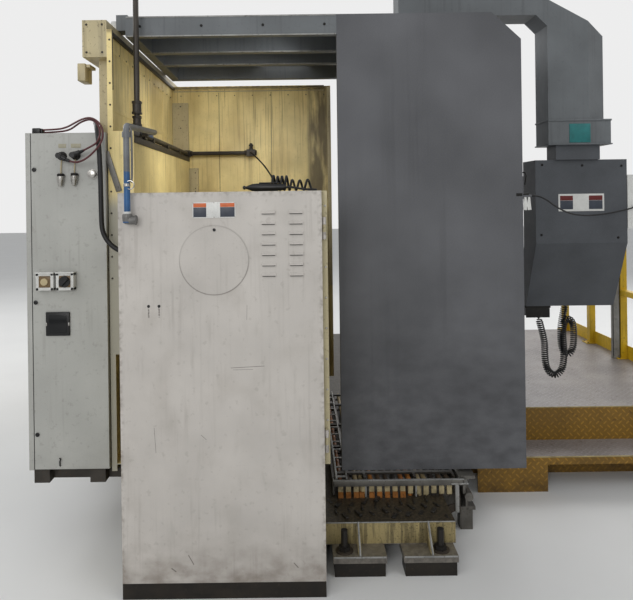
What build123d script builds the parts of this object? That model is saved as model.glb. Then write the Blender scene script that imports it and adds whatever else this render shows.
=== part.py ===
"""Flat bed CNC lathe, seen from its headstock end.

Millimetres. While it is drawn, X runs from the end cover along the spindle, Y = 0 is the spindle
axis and grows to the rear, and Z = 0 is the floor. The finished pieces are moved so that the
origin lies on the floor under the middle of the machine.
"""

import math
import os

from build123d import *

# Spindle, floor and the lengths of the machine
AXIS_Z = 1362.0
BED_START = 300.0
BED_END = 4150.0
RAIL_END = 3180.0
RUN_GAP = 0.05
FACE_GAP = 0.3

# End cover, its housing and the plinth
COVER_RIGHT = -435.0
COVER_LEFT = 385.0
COVER_BOTTOM = 65.0
COVER_TOP = 1637.0
COVER_DEPTH = 38.0
COVER_SHEET = 2.5
HOUSING_SHEET = 4.0
FLANGE_REACH = 22.0
FLANGE_BOTTOM = 520.0
PLATE_RADIUS = 137.0
PLATE_THICK = 3.0
PLATE_SCREW_CIRCLE = 122.0
LOUVRE_COLUMNS = (-220.0, -331.0)
LOUVRE_ROWS = 7
LOUVRE_TOP = 1553.0
LOUVRE_PITCH = 41.7
LOUVRE_WIDTH = 56.0
LOUVRE_HEIGHT = 12.0
LOUVRE_PROUD = 6.0
HINGE_HEIGHTS = (618.0, 1484.0)
HINGE_LENGTH = 90.0
HINGE_RADIUS = 8.0
HINGE_PIN = 4.0

# Bed, its ways, base and feet
BED_HALF = 430.0
BED_WALL = 60.0
BED_FLOOR = 400.0
WAY_BASE = 780.0
WAY_TOP = 820.0
WAY_INNER = 280.0
WAY_OUTER = 400.0
BASE_START = 233.0
BASE_BOTTOM = 86.0
BASE_TOP = 181.0
BASE_FRONT = -1013.0
PAD_REACH = 101.0
PAD_THICK = 28.0
PAD_SPANS = ((-1001.0, -770.0), (-698.0, -470.0))
PAD_STUDS = (-935.0, -521.0)
PLAIN_FEET_X = (BED_START + 40, 1500.0, 2700.0, BED_END - 110)
PLAIN_FEET_Y = (-200.0, 320.0)
PAD_RIBS = (-893.0, -585.0)
RIB_THICK = 14.0
STUD_RADIUS = 14.0
STUD_INSET = 52.0
STUD_TOP = 178.0
FOOT_RADIUS = 62.0
FOOT_DEPTH = 90.0
FOOT_INSET = 6.0
NUT_RADIUS = 27.0
NUT_THICK = 22.0
CHUTE_COUNT = 5
CHUTE_LENGTH = 420.0
CHUTE_HEIGHT = 190.0

# Headstock, spindle, chuck and belt drive
HEAD_START = 334.0
HEAD_END = 1860.0
HEAD_HALF = 405.0
HEAD_TOP = 1600.0
HEAD_SLOPE = 150.0
HEAD_WALL = 45.0
BEARING_RADIUS = 165.0
BEARING_WIDTH = 110.0
SPINDLE_RADIUS = 110.0
SPINDLE_BORE = 52.0
SPINDLE_START = 100.0
NOSE_RADIUS = 190.0
NOSE_THICK = 42.0
PULLEY_START = 130.0
PULLEY_WIDTH = 110.0
SPINDLE_PULLEY = 170.0
MOTOR_PULLEY = 95.0
PULLEY_RIM = 12.0
BELT_THICK = 12.0
MOTOR_Z = 590.0
MOTOR_RADIUS = 165.0
MOTOR_START = 345.0
MOTOR_LENGTH = 470.0
MOTOR_SHAFT = 30.0
CHUCK_RADIUS = 250.0
CHUCK_THICK = 180.0
CHUCK_BORE = 78.0
JAW_WIDTH = 62.0
JAW_INNER = 96.0
JAW_OUTER = 238.0
JAW_STEP = 165.0
JAW_PROUD = 78.0
JAW_SLOT = 34.0
JAW_COUNT = 3

# Carriage, cross slide, turret and feed screw
CARRIAGE_START = 2400.0
CARRIAGE_LENGTH = 560.0
SADDLE_THICK = 78.0
SADDLE_FRONT = -530.0
SADDLE_REAR = 470.0
APRON_BOTTOM = 560.0
SLIDE_HALF = 150.0
SLIDE_FRONT = -515.0
SLIDE_REAR = 60.0
SLIDE_THICK = 105.0
TAIL_TOP = 105.0
TAIL_FOOT = 80.0
TAIL_HEIGHT = 38.0
TURRET_Y = -300.0
TURRET_RADIUS = 165.0
TURRET_THICK = 90.0
TURRET_STATIONS = 8
TOOL_SIZE = 46.0
TOOL_REACH = 46.0
SHANK_SIZE = 25.0
TURRET_SHAFT = 45.0
TURRET_CASE_LENGTH = 230.0
SCREW_Y = -480.0
SCREW_Z = 650.0
SCREW_RADIUS = 25.0
SCREW_START = 1930.0
SCREW_BRACKET = 60.0

# Tailstock
TAIL_START = 3450.0
TAIL_LENGTH = 450.0
TAIL_BASE_THICK = 120.0
BARREL_RADIUS = 125.0
QUILL_RADIUS = 60.0
QUILL_LENGTH = 420.0
QUILL_PROUD = 25.0
CENTRE_RADIUS = 26.0
CENTRE_HEAD = 40.0
CENTRE_PROUD = 62.0

# Fixed guards and the rails of the hood
GUARD_Y = 528.0
GUARD_SHEET = 4.0
GUARD_START = 370.0
GUARD_TOP = 2398.0
GUARD_BOTTOM = 363.0
GUARD_LIP = 30.0
LIP_NOTCH = 8.0
CROSS_X = 1893.0
LEDGE_Y = 414.0
LEDGE_TOP = 1905.0
LEDGE_BOTTOM = 900.0
LEDGE_CAP_TOP = 1929.0
DUCT_DEPTH = 30.0
DUCT_SHEET = 3.0
DUCTS = (((419.0, GUARD_Y - 2), (LEDGE_TOP, 2285.0)), ((353.0, LEDGE_Y - FACE_GAP), (1640.0, 1831.0)))
CROSS_RIGHT = -576.0
NOSE_OPENING = 240.0
RAIL_BOTTOM = 2271.0
RAIL_TOP = 2441.0
RAIL_REACH = 112.0
RAIL_WALL = 8.0
POST_SIZE = 45.0
POST_PLACES = (465.0, 1760.0, 3100.0)
FRONT_RAIL_START = 500.0
FRONT_RAIL_FRONT = -1175.0
FRONT_RAIL_REAR = -1093.0
FRONT_RAIL_BOTTOM = 99.0
FRONT_RAIL_TOP = 263.0
FRONT_RAIL_WEB = 12.0
FRONT_RAIL_FLANGE = 16.0
RAIL_PLACES = (540.0, 1400.0, 2300.0, 3140.0)
RAIL_LEG = 60.0
BUFFER_REACH = 45.0
BUFFER_RADIUS = 20.0

# Cable carrier
CARRIER_START = 500.0
CARRIER_END = 1860.0
CARRIER_FRONT = -1079.0
CARRIER_REAR = -487.0
CARRIER_BOTTOM = 222.0
CARRIER_TOP = 240.0
CARRIER_BARS = (-1079.0, -891.0, -650.0, -499.0)
CARRIER_BAR = 12.0
CARRIER_STAYS = (560.0, 893.0, 1230.0, 1597.0, 1804.0)
STAY_WIDTH = 22.0
STAY_THICK = 8.0
CABLE_COUNT = 15
CABLE_PITCH = 37.0
CABLE_RADIUS = 11.0
CABLE_BEND = 48.0
CABLE_FIRST = -1062.0
CLAMPED_FROM = 6
CLAMP_WIDTH = 24.0
CLAMP_HEIGHT = 26.0

# Electric cabinet
CABINET_START = 350.0
CABINET_LENGTH = 2000.0
CABINET_RIGHT = 538.0
CABINET_LEFT = 904.0
CABINET_BOTTOM = 379.0
CABINET_TOP = 1922.0
CABINET_SHEET = 3.0
PANEL_THICK = 14.0
PANEL_STRIP = 22.0
BEAM_HEIGHT = 60.0
BEAM_WIDTH = 70.0
CONNECTORS = ((734.0, 1814.0), (672.0, 1816.0))
CONNECTOR_RADIUS = 15.5
CONNECTOR_LENGTH = 30.0
PLUG_TILTS = (30.0, -21.0)
PLUG_LENGTH = 33.5
PLUG_RADIUS = 11.0
PLUG_REACH = 14.0
LOCK_HEIGHTS = (543.0, 1147.0, 1754.0)
SWITCH_BOX = 77.0
SWITCH_BOX_DEPTH = 34.0
SWITCH_BOX_Z = 1245.0
BUTTON_BOX_Y = 809.5
ROTARY_BOX_Y = 718.5
DIAL_RADIUS = 25.0
BUTTON_RADIUS = 16.0
BUTTON_PROUD = 10.0
VENT_SPAN_Y = (711.0, 815.0)
VENT_SPAN_Z = (997.0, 1100.0)

# Sliding hood
HOOD_START = 540.0
HOOD_END = 1700.0
HOOD_FRONT = -1437.0
HOOD_INNER = -538.0
HOOD_BOTTOM = 279.0
HOOD_TOP = 2504.0
HOOD_SHEET = 3.0
HOOD_FOLD = 40.0
HOOD_BEVEL_Y = 141.0
HOOD_BEVEL_Z = 132.0
BEAM_BOTTOM = 2406.0
BEAM_REAR = 490.0
HOOD_TUBE = 50.0
RIB_PLACES = (915.0, 1228.0)
ROOF_SHEET = 4.0
ROOF_OPENING_X = (1383.0, 1629.0)
ROOF_OPENING_Y = (-403.0, -93.0)
ROLLER_RADIUS = 32.0
ROLLER_WIDTH = 30.0
DOORWAY = (1110.0, 1610.0)
DOORWAY_BOTTOM = 480.0
DOORWAY_TOP = 2080.0
DOOR_LAP = 30.0
DOOR_THICK = 22.0
DOOR_BAR = (1150.0, 1450.0)
DOOR_BAR_RADIUS = 9.0
DOOR_BAR_REACH = 26.0
DOOR_BAR_FEET = 20.0
DOOR_FOOT_RADIUS = 7.0
WINDOW = (1210.0, 1510.0)
WINDOW_BOTTOM = 1250.0
WINDOW_TOP = 1800.0
GLASS_THICK = 8.0

# Hook of the pendant's cord on the hood's edge
HOOK_X = 553.0
HOOK_TIP = -1482.0
HOOK_Z = 1606.0

# Boom and pendant
BOOM_X = 900.0
BOOM_DEPTH = 180.0
COLUMN_RIGHT = -2048.0
COLUMN_LEFT = -1708.0
COLUMN_BOTTOM = 1883.0
BOOM_CLEAR = 86.0
BOOM_UNDER = HOOD_TOP + BOOM_CLEAR
BOOM_HEIGHT = 170.0
BOOM_TOP = BOOM_UNDER + BOOM_HEIGHT
BOOM_BEND = 60.0
BOOM_FOOT = (360.0, 30.0)
BOOM_END = -900.0
BOOM_SHOULDER = 488.0
BOOM_SLOPE = 270.0
COLUMN_BEVEL = 118.0
COLUMN_CUT = 82.0
COLUMN_BLOCK_TOP = 2016.0
SPIGOT_RADIUS = 55.0
SPIGOT_LENGTH = 90.0
PENDANT_BACK = 950.0
PENDANT_DEPTH = 190.0
PENDANT_RIGHT = -2157.0
PENDANT_LEFT = -1652.0
PENDANT_TOP = 1802.0
PENDANT_KNEE = 1342.0
PENDANT_BOTTOM = 968.0
PENDANT_SLOPE = 170.0
NECK_SIZE = 240.0
CORD_INSET = 45.0
HANDSET_DROP = 62.0
STOP_RADIUS = 22.0
SIDE_BOX_WIDTH = 60.0

# Operator platform and railing
STEP_START = 890.0
STEP_HEIGHT = 190.0
DECK_START = 1130.0
DECK_HEIGHT = 380.0
DECK_END = 3280.0
DECK_INNER = -1455.0
DECK_OUTER = -2796.0
STEP_INNER = -1296.0
LEG_PLATE_END = -1677.0
STRIP_BOTTOM = 147.0
TREAD_SHEET = 6.0
RAILING_POSTS = 5
RAILING_PITCH = 513.0
RAILING_FIRST = 1198.0
RAILING_SIZE = 50.0
RAILING_TOP = 1450.0
RAILING_MID = 875.0
KICK_HEIGHT = 100.0

# Air pipes, blow gun and hoses
PIPE_RADIUS = 13.5
DROP_X = 474.0
DROP_Y = 422.0
PIPE_Z = 1930.0
LEG_TOP = 1903.0
DROP_TOP = 2620.0
COUPLINGS = ((1968.0, 2005.0, 19.0), (2025.0, 2075.0, 21.0), (DROP_TOP - 50, DROP_TOP, 19.0))
CLAMP_PLACES = (760.0, 1120.0, 1480.0)
LEG_X = -40.0
LEG_Y = 336.0
LEG_BOTTOM = 1531.0
LEG_RADIUS = 12.5
VALVE_REACH = 90.0
VALVE_SIZE = 44.0
INLET_RADIUS = 12.0
INLET_DEPTH = 30.0
HOSE_RADIUS = 5.0
LEAD_RADIUS = 4.5
BLACK_HOSE_RADIUS = 11.0
CURLY_RADIUS = 17.0
THIN_CORD_RADIUS = 4.0
GUN_RADIUS = 18.0
HOSE_SWAYS = 9
HOSE_SWAY = 10.0
COIL_X = 190.0
COIL_SPAN = (-410.0, -222.0)
COIL_WIDE = 35.0
COIL_NARROW = 20.0
TEE_RADIUS = 22.0


def block(x, y, z):
    """A box between the given (low, high) pairs."""
    size = (x[1] - x[0], y[1] - y[0], z[1] - z[0])
    middle = ((x[0] + x[1]) / 2, (y[0] + y[1]) / 2, (z[0] + z[1]) / 2)
    return Pos(*middle) * Box(*size)


def around(middle, size):
    """The (low, high) pair of a length about its middle."""
    return (middle - size / 2, middle + size / 2)


def rod_x(x, y, z, radius):
    """A round bar along X between the (low, high) pair x."""
    return Pos((x[0] + x[1]) / 2, y, z) * Rot(0, 90, 0) * Cylinder(radius, x[1] - x[0])


def rod_y(x, y, z, radius):
    """A round bar along Y between the (low, high) pair y."""
    return Pos(x, (y[0] + y[1]) / 2, z) * Rot(90, 0, 0) * Cylinder(radius, y[1] - y[0])


def rod_z(x, y, z, radius):
    """A round bar along Z between the (low, high) pair z."""
    return Pos(x, y, (z[0] + z[1]) / 2) * Cylinder(radius, z[1] - z[0])


def prism_x(outline, x):
    """An outline of (y, z) points, extruded along X between the (low, high) pair x."""
    face = Plane.YZ.offset(x[0]) * make_face(Polyline(*outline, close=True))
    return extrude(face, amount=x[1] - x[0], dir=(1, 0, 0))


def prism_y(outline, y):
    """An outline of (x, z) points, extruded along Y between the (low, high) pair y."""
    plane = Plane(origin=(0, y[0], 0), x_dir=(1, 0, 0), z_dir=(0, -1, 0))
    return extrude(plane * make_face(Polyline(*outline, close=True)), amount=y[1] - y[0], dir=(0, 1, 0))


def turned_x(profile, y, z):
    """A piece turned about an axis along X, from (x, radius) points."""
    face = Plane.XZ * make_face(Polyline(*profile, close=True))
    return Pos(0, y, z) * revolve(face, Axis.X)


def ring_x(x, z, outer, inner):
    """A ring about the spindle side's axis at height z, with its bore."""
    profile = [(x[0], inner), (x[1], inner), (x[1], outer), (x[0], outer)]
    return turned_x(profile, 0, z)


def bend_radii(points):
    """The largest arc that each corner of a route allows."""
    radii = []
    for before, corner, after in zip(points, points[1:], points[2:]):
        first = Vector(*corner) - Vector(*before)
        second = Vector(*after) - Vector(*corner)
        half_turn = math.radians(first.get_angle(second)) / 2
        radii.append(0.45 * min(first.length, second.length) / math.tan(half_turn))
    return radii


def tube(name, points, radius, radii=None):
    """A round tube along straight runs joined by tangent arcs, printed with its bends."""
    bends = radii or bend_radii(points)
    path = FilletPolyline(*points, radius=bends)
    section = Plane(origin=path @ 0, z_dir=path % 0) * Circle(radius)
    body = sweep(section, path=path)
    filled = body.volume / (math.pi * radius**2 * path.length)
    print(
        f"{name} diameter {2 * radius:g} length {path.length:.0f}",
        f"bends {[round(bend, 1) for bend in bends]} volume ratio {filled:.3f}",
    )
    return body


def hex_nut(x, y, z, radius, thick):
    """A hexagon nut lying flat on height z."""
    return Pos(x, y, z) * extrude(RegularPolygon(radius, 6), amount=thick)


# Bed and what stands under it


def pad_places():
    """Edge, outward direction, span and stud of each foot pad at both ends of the base."""
    for span, stud in zip(PAD_SPANS, PAD_STUDS):
        yield BASE_START, -1, span, stud
        yield BED_END, 1, span, stud


def bed():
    """The cast bed: base, box section with a chip trough, two flat ways and foot pads."""
    outline = [
        (BASE_FRONT, BASE_BOTTOM),
        (BED_HALF, BASE_BOTTOM),
        (BED_HALF, WAY_BASE),
        (WAY_OUTER, WAY_BASE),
        (WAY_OUTER, WAY_TOP),
        (WAY_INNER, WAY_TOP),
        (WAY_INNER, WAY_BASE),
        (BED_HALF - BED_WALL, WAY_BASE - BED_WALL),
        (BED_HALF - BED_WALL, BED_FLOOR),
        (BED_WALL - BED_HALF, BED_FLOOR),
        (BED_WALL - BED_HALF, WAY_BASE - BED_WALL),
        (-WAY_INNER, WAY_BASE),
        (-WAY_INNER, WAY_TOP),
        (-WAY_OUTER, WAY_TOP),
        (-WAY_OUTER, WAY_BASE),
        (-BED_HALF, WAY_BASE),
        (-BED_HALF, BASE_TOP),
        (BASE_FRONT, BASE_TOP),
    ]
    body = prism_x(outline, (BASE_START, BED_END))
    body -= block((BASE_START, BED_START), (-BED_HALF, BED_HALF), (BASE_TOP, WAY_TOP))
    spacing = (BED_END - CROSS_X) / CHUTE_COUNT
    for number in range(CHUTE_COUNT):
        middle = CROSS_X + spacing * (number + 0.5)
        wall = (BED_HALF - BED_WALL, BED_HALF)
        span = (BED_FLOOR, BED_FLOOR + CHUTE_HEIGHT)
        body -= block(around(middle, min(CHUTE_LENGTH, spacing * 0.8)), wall, span)
    for edge, outward, span, stud in pad_places():
        reach = sorted((edge - outward * PAD_THICK, edge + outward * PAD_REACH))
        body += block(reach, span, (BASE_BOTTOM - PAD_THICK, BASE_BOTTOM))
        body -= rod_z(edge + outward * STUD_INSET, stud, (0, BASE_TOP), STUD_RADIUS + 1)
    for middle in PAD_RIBS:
        rib = [(BASE_START, BASE_TOP), (BASE_START, BASE_BOTTOM), (BASE_START - PAD_REACH + 12, BASE_BOTTOM)]
        body += prism_y(rib, around(middle, RIB_THICK))
    for middle in (SCREW_START + SCREW_BRACKET / 2, BED_END - SCREW_BRACKET / 2):
        bracket = block(around(middle, SCREW_BRACKET), (SADDLE_FRONT, -BED_HALF), around(SCREW_Z, 110))
        body += bracket - rod_x(around(middle, SCREW_BRACKET), SCREW_Y, SCREW_Z, SCREW_RADIUS + RUN_GAP)
    return body


def levelling_feet():
    """Wedge blocks with their studs through the pads, and round feet under the rest of the base."""
    pad_bottom = BASE_BOTTOM - PAD_THICK
    feet = []
    for edge, outward, span, y in pad_places():
        x = edge + outward * STUD_INSET
        wide = (span[0] + FOOT_INSET, span[1] - FOOT_INSET)
        foot = block(around(x, FOOT_DEPTH), wide, (0, pad_bottom))
        stud = rod_z(x, y, (pad_bottom, STUD_TOP), STUD_RADIUS)
        nut = hex_nut(x, y, BASE_BOTTOM, NUT_RADIUS, NUT_THICK)
        feet.append(foot + stud + nut)
    for x in PLAIN_FEET_X:
        for y in PLAIN_FEET_Y:
            feet.append(rod_z(x, y, (0, BASE_BOTTOM), FOOT_RADIUS))
    for x in PLAIN_FEET_X[1:3]:
        feet.append(rod_z(x, PAD_STUDS[0], (0, BASE_BOTTOM), FOOT_RADIUS))
    return Compound(children=feet)


def plinth():
    """The black channel that the end cover stands over."""
    body = block((2, 62), (COVER_RIGHT, COVER_LEFT), (0, COVER_BOTTOM))
    return body - block((14, 62), (COVER_RIGHT + 12, COVER_LEFT - 12), (8, COVER_BOTTOM - 8))


# End cover


def hinge_barrel(height, spans):
    """Barrels about the hinge line over the given shares of a hinge's length."""
    barrels = None
    x = COVER_DEPTH - 8
    y = COVER_RIGHT - HINGE_RADIUS - 2
    for low, high in spans:
        z = (height + low * HINGE_LENGTH, height + high * HINGE_LENGTH)
        barrel = rod_z(x, y, z, HINGE_RADIUS)
        barrels = barrel if barrels is None else barrels + barrel
    return barrels, x, y


def cover_housing():
    """The sheet housing round the belt drive, with its front flange and the hinge pins."""
    x = (COVER_DEPTH + 2, HEAD_START)
    y = (COVER_RIGHT - 2, COVER_LEFT)
    z = (COVER_BOTTOM, COVER_TOP)
    sheet = HOUSING_SHEET
    body = block(x, y, z)
    body -= block(x, (y[0] + sheet, y[1] - sheet), (z[0] + sheet, z[1] - sheet))
    flange = block((x[0], x[0] + sheet), (y[0] - FLANGE_REACH, y[0]), (FLANGE_BOTTOM, COVER_TOP))
    rim = block((x[0], x[0] + sheet), y, z)
    rim -= block((x[0], x[0] + sheet), (y[0] + 30, y[1] - 30), (z[0] + 30, z[1] - 30))
    body += flange + rim
    body -= block((BASE_START - 1, x[1]), (y[0], y[1]), (z[0], BASE_TOP + 1))
    body -= block((BED_START - 1, x[1]), (y[0], y[1]), (z[0], WAY_TOP + 1))
    for height in HINGE_HEIGHTS:
        barrel, hinge_x, hinge_y = hinge_barrel(height, [(-0.16, 0.16)])
        leaf = block((hinge_x, x[0]), around(hinge_y, 4), around(height, 0.32 * HINGE_LENGTH))
        pin = rod_z(hinge_x, hinge_y, around(height, HINGE_LENGTH + 8), HINGE_PIN)
        body += barrel + leaf + pin
    return body


def end_cover():
    """The folded cover with two columns of louvres, and its hinge barrels on the right edge."""
    y = (COVER_RIGHT, COVER_LEFT)
    z = (COVER_BOTTOM, COVER_TOP)
    body = block((0, COVER_DEPTH), y, z)
    inner_y = (y[0] + COVER_SHEET, y[1] - COVER_SHEET)
    inner_z = (z[0] + COVER_SHEET, z[1] - COVER_SHEET)
    body -= block((COVER_SHEET, COVER_DEPTH), inner_y, inner_z)
    for column in LOUVRE_COLUMNS:
        for row in range(LOUVRE_ROWS):
            height = LOUVRE_TOP - row * LOUVRE_PITCH
            lower, upper = around(height, LOUVRE_HEIGHT)
            span = around(column, LOUVRE_WIDTH)
            hood = [(0.5, upper), (-LOUVRE_PROUD, lower + 3), (-LOUVRE_PROUD, lower), (0.5, lower)]
            slot = block((-LOUVRE_PROUD + 2, COVER_SHEET), (span[0] + 3, span[1] - 3), (lower, lower + 3))
            body += prism_y(hood, span)
            body -= slot
    for height in HINGE_HEIGHTS:
        barrels, x, y_pin = hinge_barrel(height, [(-0.5, -0.17), (0.17, 0.5)])
        for low, high in ((-0.5, -0.17), (0.17, 0.5)):
            tab_z = (height + low * HINGE_LENGTH, height + high * HINGE_LENGTH)
            barrels += block((x - 2, x + 2), (y_pin, COVER_RIGHT), tab_z)
        body += barrels - rod_z(x, y_pin, around(height, HINGE_LENGTH), HINGE_PIN + RUN_GAP)
    return body


def round_cover_plate():
    """The round plate over the spindle's rear end, with its three screw heads."""
    plate = rod_x((-PLATE_THICK, 0), 0, AXIS_Z, PLATE_RADIUS)
    for angle in (90, 210, 330):
        y = PLATE_SCREW_CIRCLE * math.cos(math.radians(angle))
        z = AXIS_Z + PLATE_SCREW_CIRCLE * math.sin(math.radians(angle))
        plate += rod_x((-PLATE_THICK - 2, -PLATE_THICK), y, z, 4)
    return plate


# Headstock and belt drive


def headstock_case():
    """The cast headstock with its bearing bores along the spindle."""
    outline = [
        (-HEAD_HALF, WAY_TOP),
        (HEAD_HALF, WAY_TOP),
        (HEAD_HALF, HEAD_TOP),
        (HEAD_SLOPE - HEAD_HALF, HEAD_TOP),
        (-HEAD_HALF, HEAD_TOP - HEAD_SLOPE),
    ]
    body = prism_x(outline, (HEAD_START, HEAD_END))
    wall = HEAD_WALL
    room = (HEAD_START + BEARING_WIDTH + wall, HEAD_END - BEARING_WIDTH - wall)
    inner = [
        (wall - HEAD_HALF, WAY_TOP + wall),
        (HEAD_HALF - wall, WAY_TOP + wall),
        (HEAD_HALF - wall, HEAD_TOP - wall),
        (HEAD_SLOPE - HEAD_HALF, HEAD_TOP - wall),
        (wall - HEAD_HALF, HEAD_TOP - HEAD_SLOPE),
    ]
    body -= prism_x(inner, room)
    body -= rod_x((HEAD_START, HEAD_END), 0, AXIS_Z, SPINDLE_RADIUS + 12)
    for x in ((HEAD_START, HEAD_START + BEARING_WIDTH), (HEAD_END - BEARING_WIDTH, HEAD_END)):
        body -= rod_x(x, 0, AXIS_Z, BEARING_RADIUS)
    return body


def spindle_bearings():
    """One bearing at each end of the headstock, flush with its face."""
    bearings = []
    for start in (HEAD_START, HEAD_END - BEARING_WIDTH):
        x = (start, start + BEARING_WIDTH)
        bearings.append(ring_x(x, AXIS_Z, BEARING_RADIUS - RUN_GAP, SPINDLE_RADIUS + RUN_GAP))
    return Compound(children=bearings)


def spindle():
    """The hollow spindle with its nose flange and the belt pulley on its rear end."""
    nose = HEAD_END + FACE_GAP
    pulley = (PULLEY_START, PULLEY_START + PULLEY_WIDTH)
    profile = [
        (SPINDLE_START, SPINDLE_BORE),
        (nose + NOSE_THICK, SPINDLE_BORE),
        (nose + NOSE_THICK, NOSE_RADIUS),
        (nose, NOSE_RADIUS),
        (nose, SPINDLE_RADIUS),
        (pulley[1] + 8, SPINDLE_RADIUS),
        (pulley[1] + 8, SPINDLE_PULLEY + PULLEY_RIM),
        (pulley[1], SPINDLE_PULLEY + PULLEY_RIM),
        (pulley[1], SPINDLE_PULLEY),
        (pulley[0], SPINDLE_PULLEY),
        (pulley[0], SPINDLE_PULLEY + PULLEY_RIM),
        (pulley[0] - 8, SPINDLE_PULLEY + PULLEY_RIM),
        (pulley[0] - 8, SPINDLE_RADIUS),
        (SPINDLE_START, SPINDLE_RADIUS),
    ]
    return turned_x(profile, 0, AXIS_Z)


def motor_pulley():
    """The small pulley, on the motor's shaft."""
    low, high = PULLEY_START, PULLEY_START + PULLEY_WIDTH
    profile = [
        (low - 8, 0),
        (MOTOR_START - FACE_GAP, 0),
        (MOTOR_START - FACE_GAP, MOTOR_SHAFT),
        (high + 8, MOTOR_SHAFT),
        (high + 8, MOTOR_PULLEY + PULLEY_RIM),
        (high, MOTOR_PULLEY + PULLEY_RIM),
        (high, MOTOR_PULLEY),
        (low, MOTOR_PULLEY),
        (low, MOTOR_PULLEY + PULLEY_RIM),
        (low - 8, MOTOR_PULLEY + PULLEY_RIM),
    ]
    return turned_x(profile, 0, MOTOR_Z)


def drive_motor():
    """The spindle motor, on two feet on the trough's floor under the headstock."""
    x = (MOTOR_START, MOTOR_START + MOTOR_LENGTH)
    body = rod_x(x, 0, MOTOR_Z, MOTOR_RADIUS)
    for side in (-1, 1):
        foot = block(around(MOTOR_START + 110, 60), around(side * 110, 70), (BED_FLOOR, MOTOR_Z - 90))
        far = block(around(x[1] - 110, 60), around(side * 110, 70), (BED_FLOOR, MOTOR_Z - 90))
        body += foot + far
    return body


def belt_loop(clearance, low, high):
    """A solid round both pulleys, as wide as the belt."""
    top = Pos(0, AXIS_Z) * Circle(SPINDLE_PULLEY + clearance)
    bottom = Pos(0, MOTOR_Z) * Circle(MOTOR_PULLEY + clearance)
    hull = make_hull(top.edges() + bottom.edges())
    return extrude(Plane.YZ.offset(low) * hull, amount=high - low, dir=(1, 0, 0))


def drive_belt():
    """The flat toothed belt, drawn as its loop round both pulleys."""
    low = PULLEY_START + 4
    high = PULLEY_START + PULLEY_WIDTH - 4
    return belt_loop(FACE_GAP + BELT_THICK, low, high) - belt_loop(FACE_GAP, low, high)


# Chuck


def chuck_span():
    """The chuck's length along X."""
    start = HEAD_END + FACE_GAP + NOSE_THICK
    return (start, start + CHUCK_THICK)


def jaw_angle(number):
    """The direction of a jaw, counted from straight up."""
    return 360 / JAW_COUNT * number


def about_spindle(shape, angle):
    """The shape, drawn with its radius along Z, turned about the spindle."""
    return Pos(0, 0, AXIS_Z) * Rot(angle, 0, 0) * shape


def chuck_body():
    """The chuck's body with a bore and a T-slot for each jaw."""
    x = chuck_span()
    profile = [
        (x[0], CHUCK_BORE),
        (x[1], CHUCK_BORE),
        (x[1], CHUCK_RADIUS - 12),
        (x[1] - 12, CHUCK_RADIUS),
        (x[0], CHUCK_RADIUS),
    ]
    body = turned_x(profile, 0, AXIS_Z)
    half = JAW_WIDTH / 2 + RUN_GAP
    for number in range(JAW_COUNT):
        slot = block((x[1] - JAW_SLOT, x[1]), (-half, half), (0, CHUCK_RADIUS + 5))
        wide = block((x[1] - JAW_SLOT - 16, x[1] - JAW_SLOT), (-half - 12, half + 12), (0, CHUCK_RADIUS + 5))
        body -= about_spindle(slot + wide, jaw_angle(number))
    return body


def chuck_jaw(number):
    """One stepped jaw in its slot."""
    face = chuck_span()[1]
    half = JAW_WIDTH / 2
    side = [
        (face - JAW_SLOT, JAW_INNER),
        (face + JAW_PROUD, JAW_INNER),
        (face + JAW_PROUD, JAW_STEP),
        (face + JAW_PROUD / 2, JAW_STEP),
        (face + JAW_PROUD / 2, JAW_OUTER),
        (face - JAW_SLOT, JAW_OUTER),
    ]
    jaw = prism_y(side, (-half, half))
    foot_x = (face - JAW_SLOT - 16 + RUN_GAP, face - JAW_SLOT - RUN_GAP)
    jaw += block((foot_x[0], face - JAW_SLOT), (-half, half), (JAW_INNER, JAW_OUTER))
    jaw += block(foot_x, (-half - 12 + RUN_GAP, half + 12 - RUN_GAP), (JAW_INNER, JAW_OUTER))
    return about_spindle(jaw, jaw_angle(number))


# Carriage and turret


def carriage():
    """The saddle over both ways, its apron round the feed screw and the dovetail of the cross slide."""
    x = (CARRIAGE_START, CARRIAGE_START + CARRIAGE_LENGTH)
    under = WAY_TOP + RUN_GAP
    side = BED_HALF + FACE_GAP
    outline = [
        (SADDLE_FRONT, APRON_BOTTOM),
        (-side, APRON_BOTTOM),
        (-side, under),
        (side, under),
        (side, WAY_BASE - 60),
        (SADDLE_REAR, WAY_BASE - 60),
        (SADDLE_REAR, under + SADDLE_THICK),
        (SADDLE_FRONT, under + SADDLE_THICK),
    ]
    body = prism_x(outline, x)
    middle = (x[0] + x[1]) / 2
    top = under + SADDLE_THICK
    tail = [
        (middle - TAIL_FOOT, top),
        (middle + TAIL_FOOT, top),
        (middle + TAIL_TOP, top + TAIL_HEIGHT),
        (middle - TAIL_TOP, top + TAIL_HEIGHT),
    ]
    body += prism_y(tail, (SADDLE_FRONT, SADDLE_REAR))
    body -= rod_x(x, SCREW_Y, SCREW_Z, SCREW_RADIUS + FACE_GAP)
    window = WAY_INNER - 60
    body -= block((x[0], middle - 170), (-window, window), (under, top))
    body -= block((middle + 170, x[1]), (-window, window), (under, top))
    return body


def slide_bottom():
    """Height of the cross slide's underside."""
    return WAY_TOP + RUN_GAP + SADDLE_THICK + FACE_GAP


def carriage_middle():
    """The carriage's middle along X."""
    return CARRIAGE_START + CARRIAGE_LENGTH / 2


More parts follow.
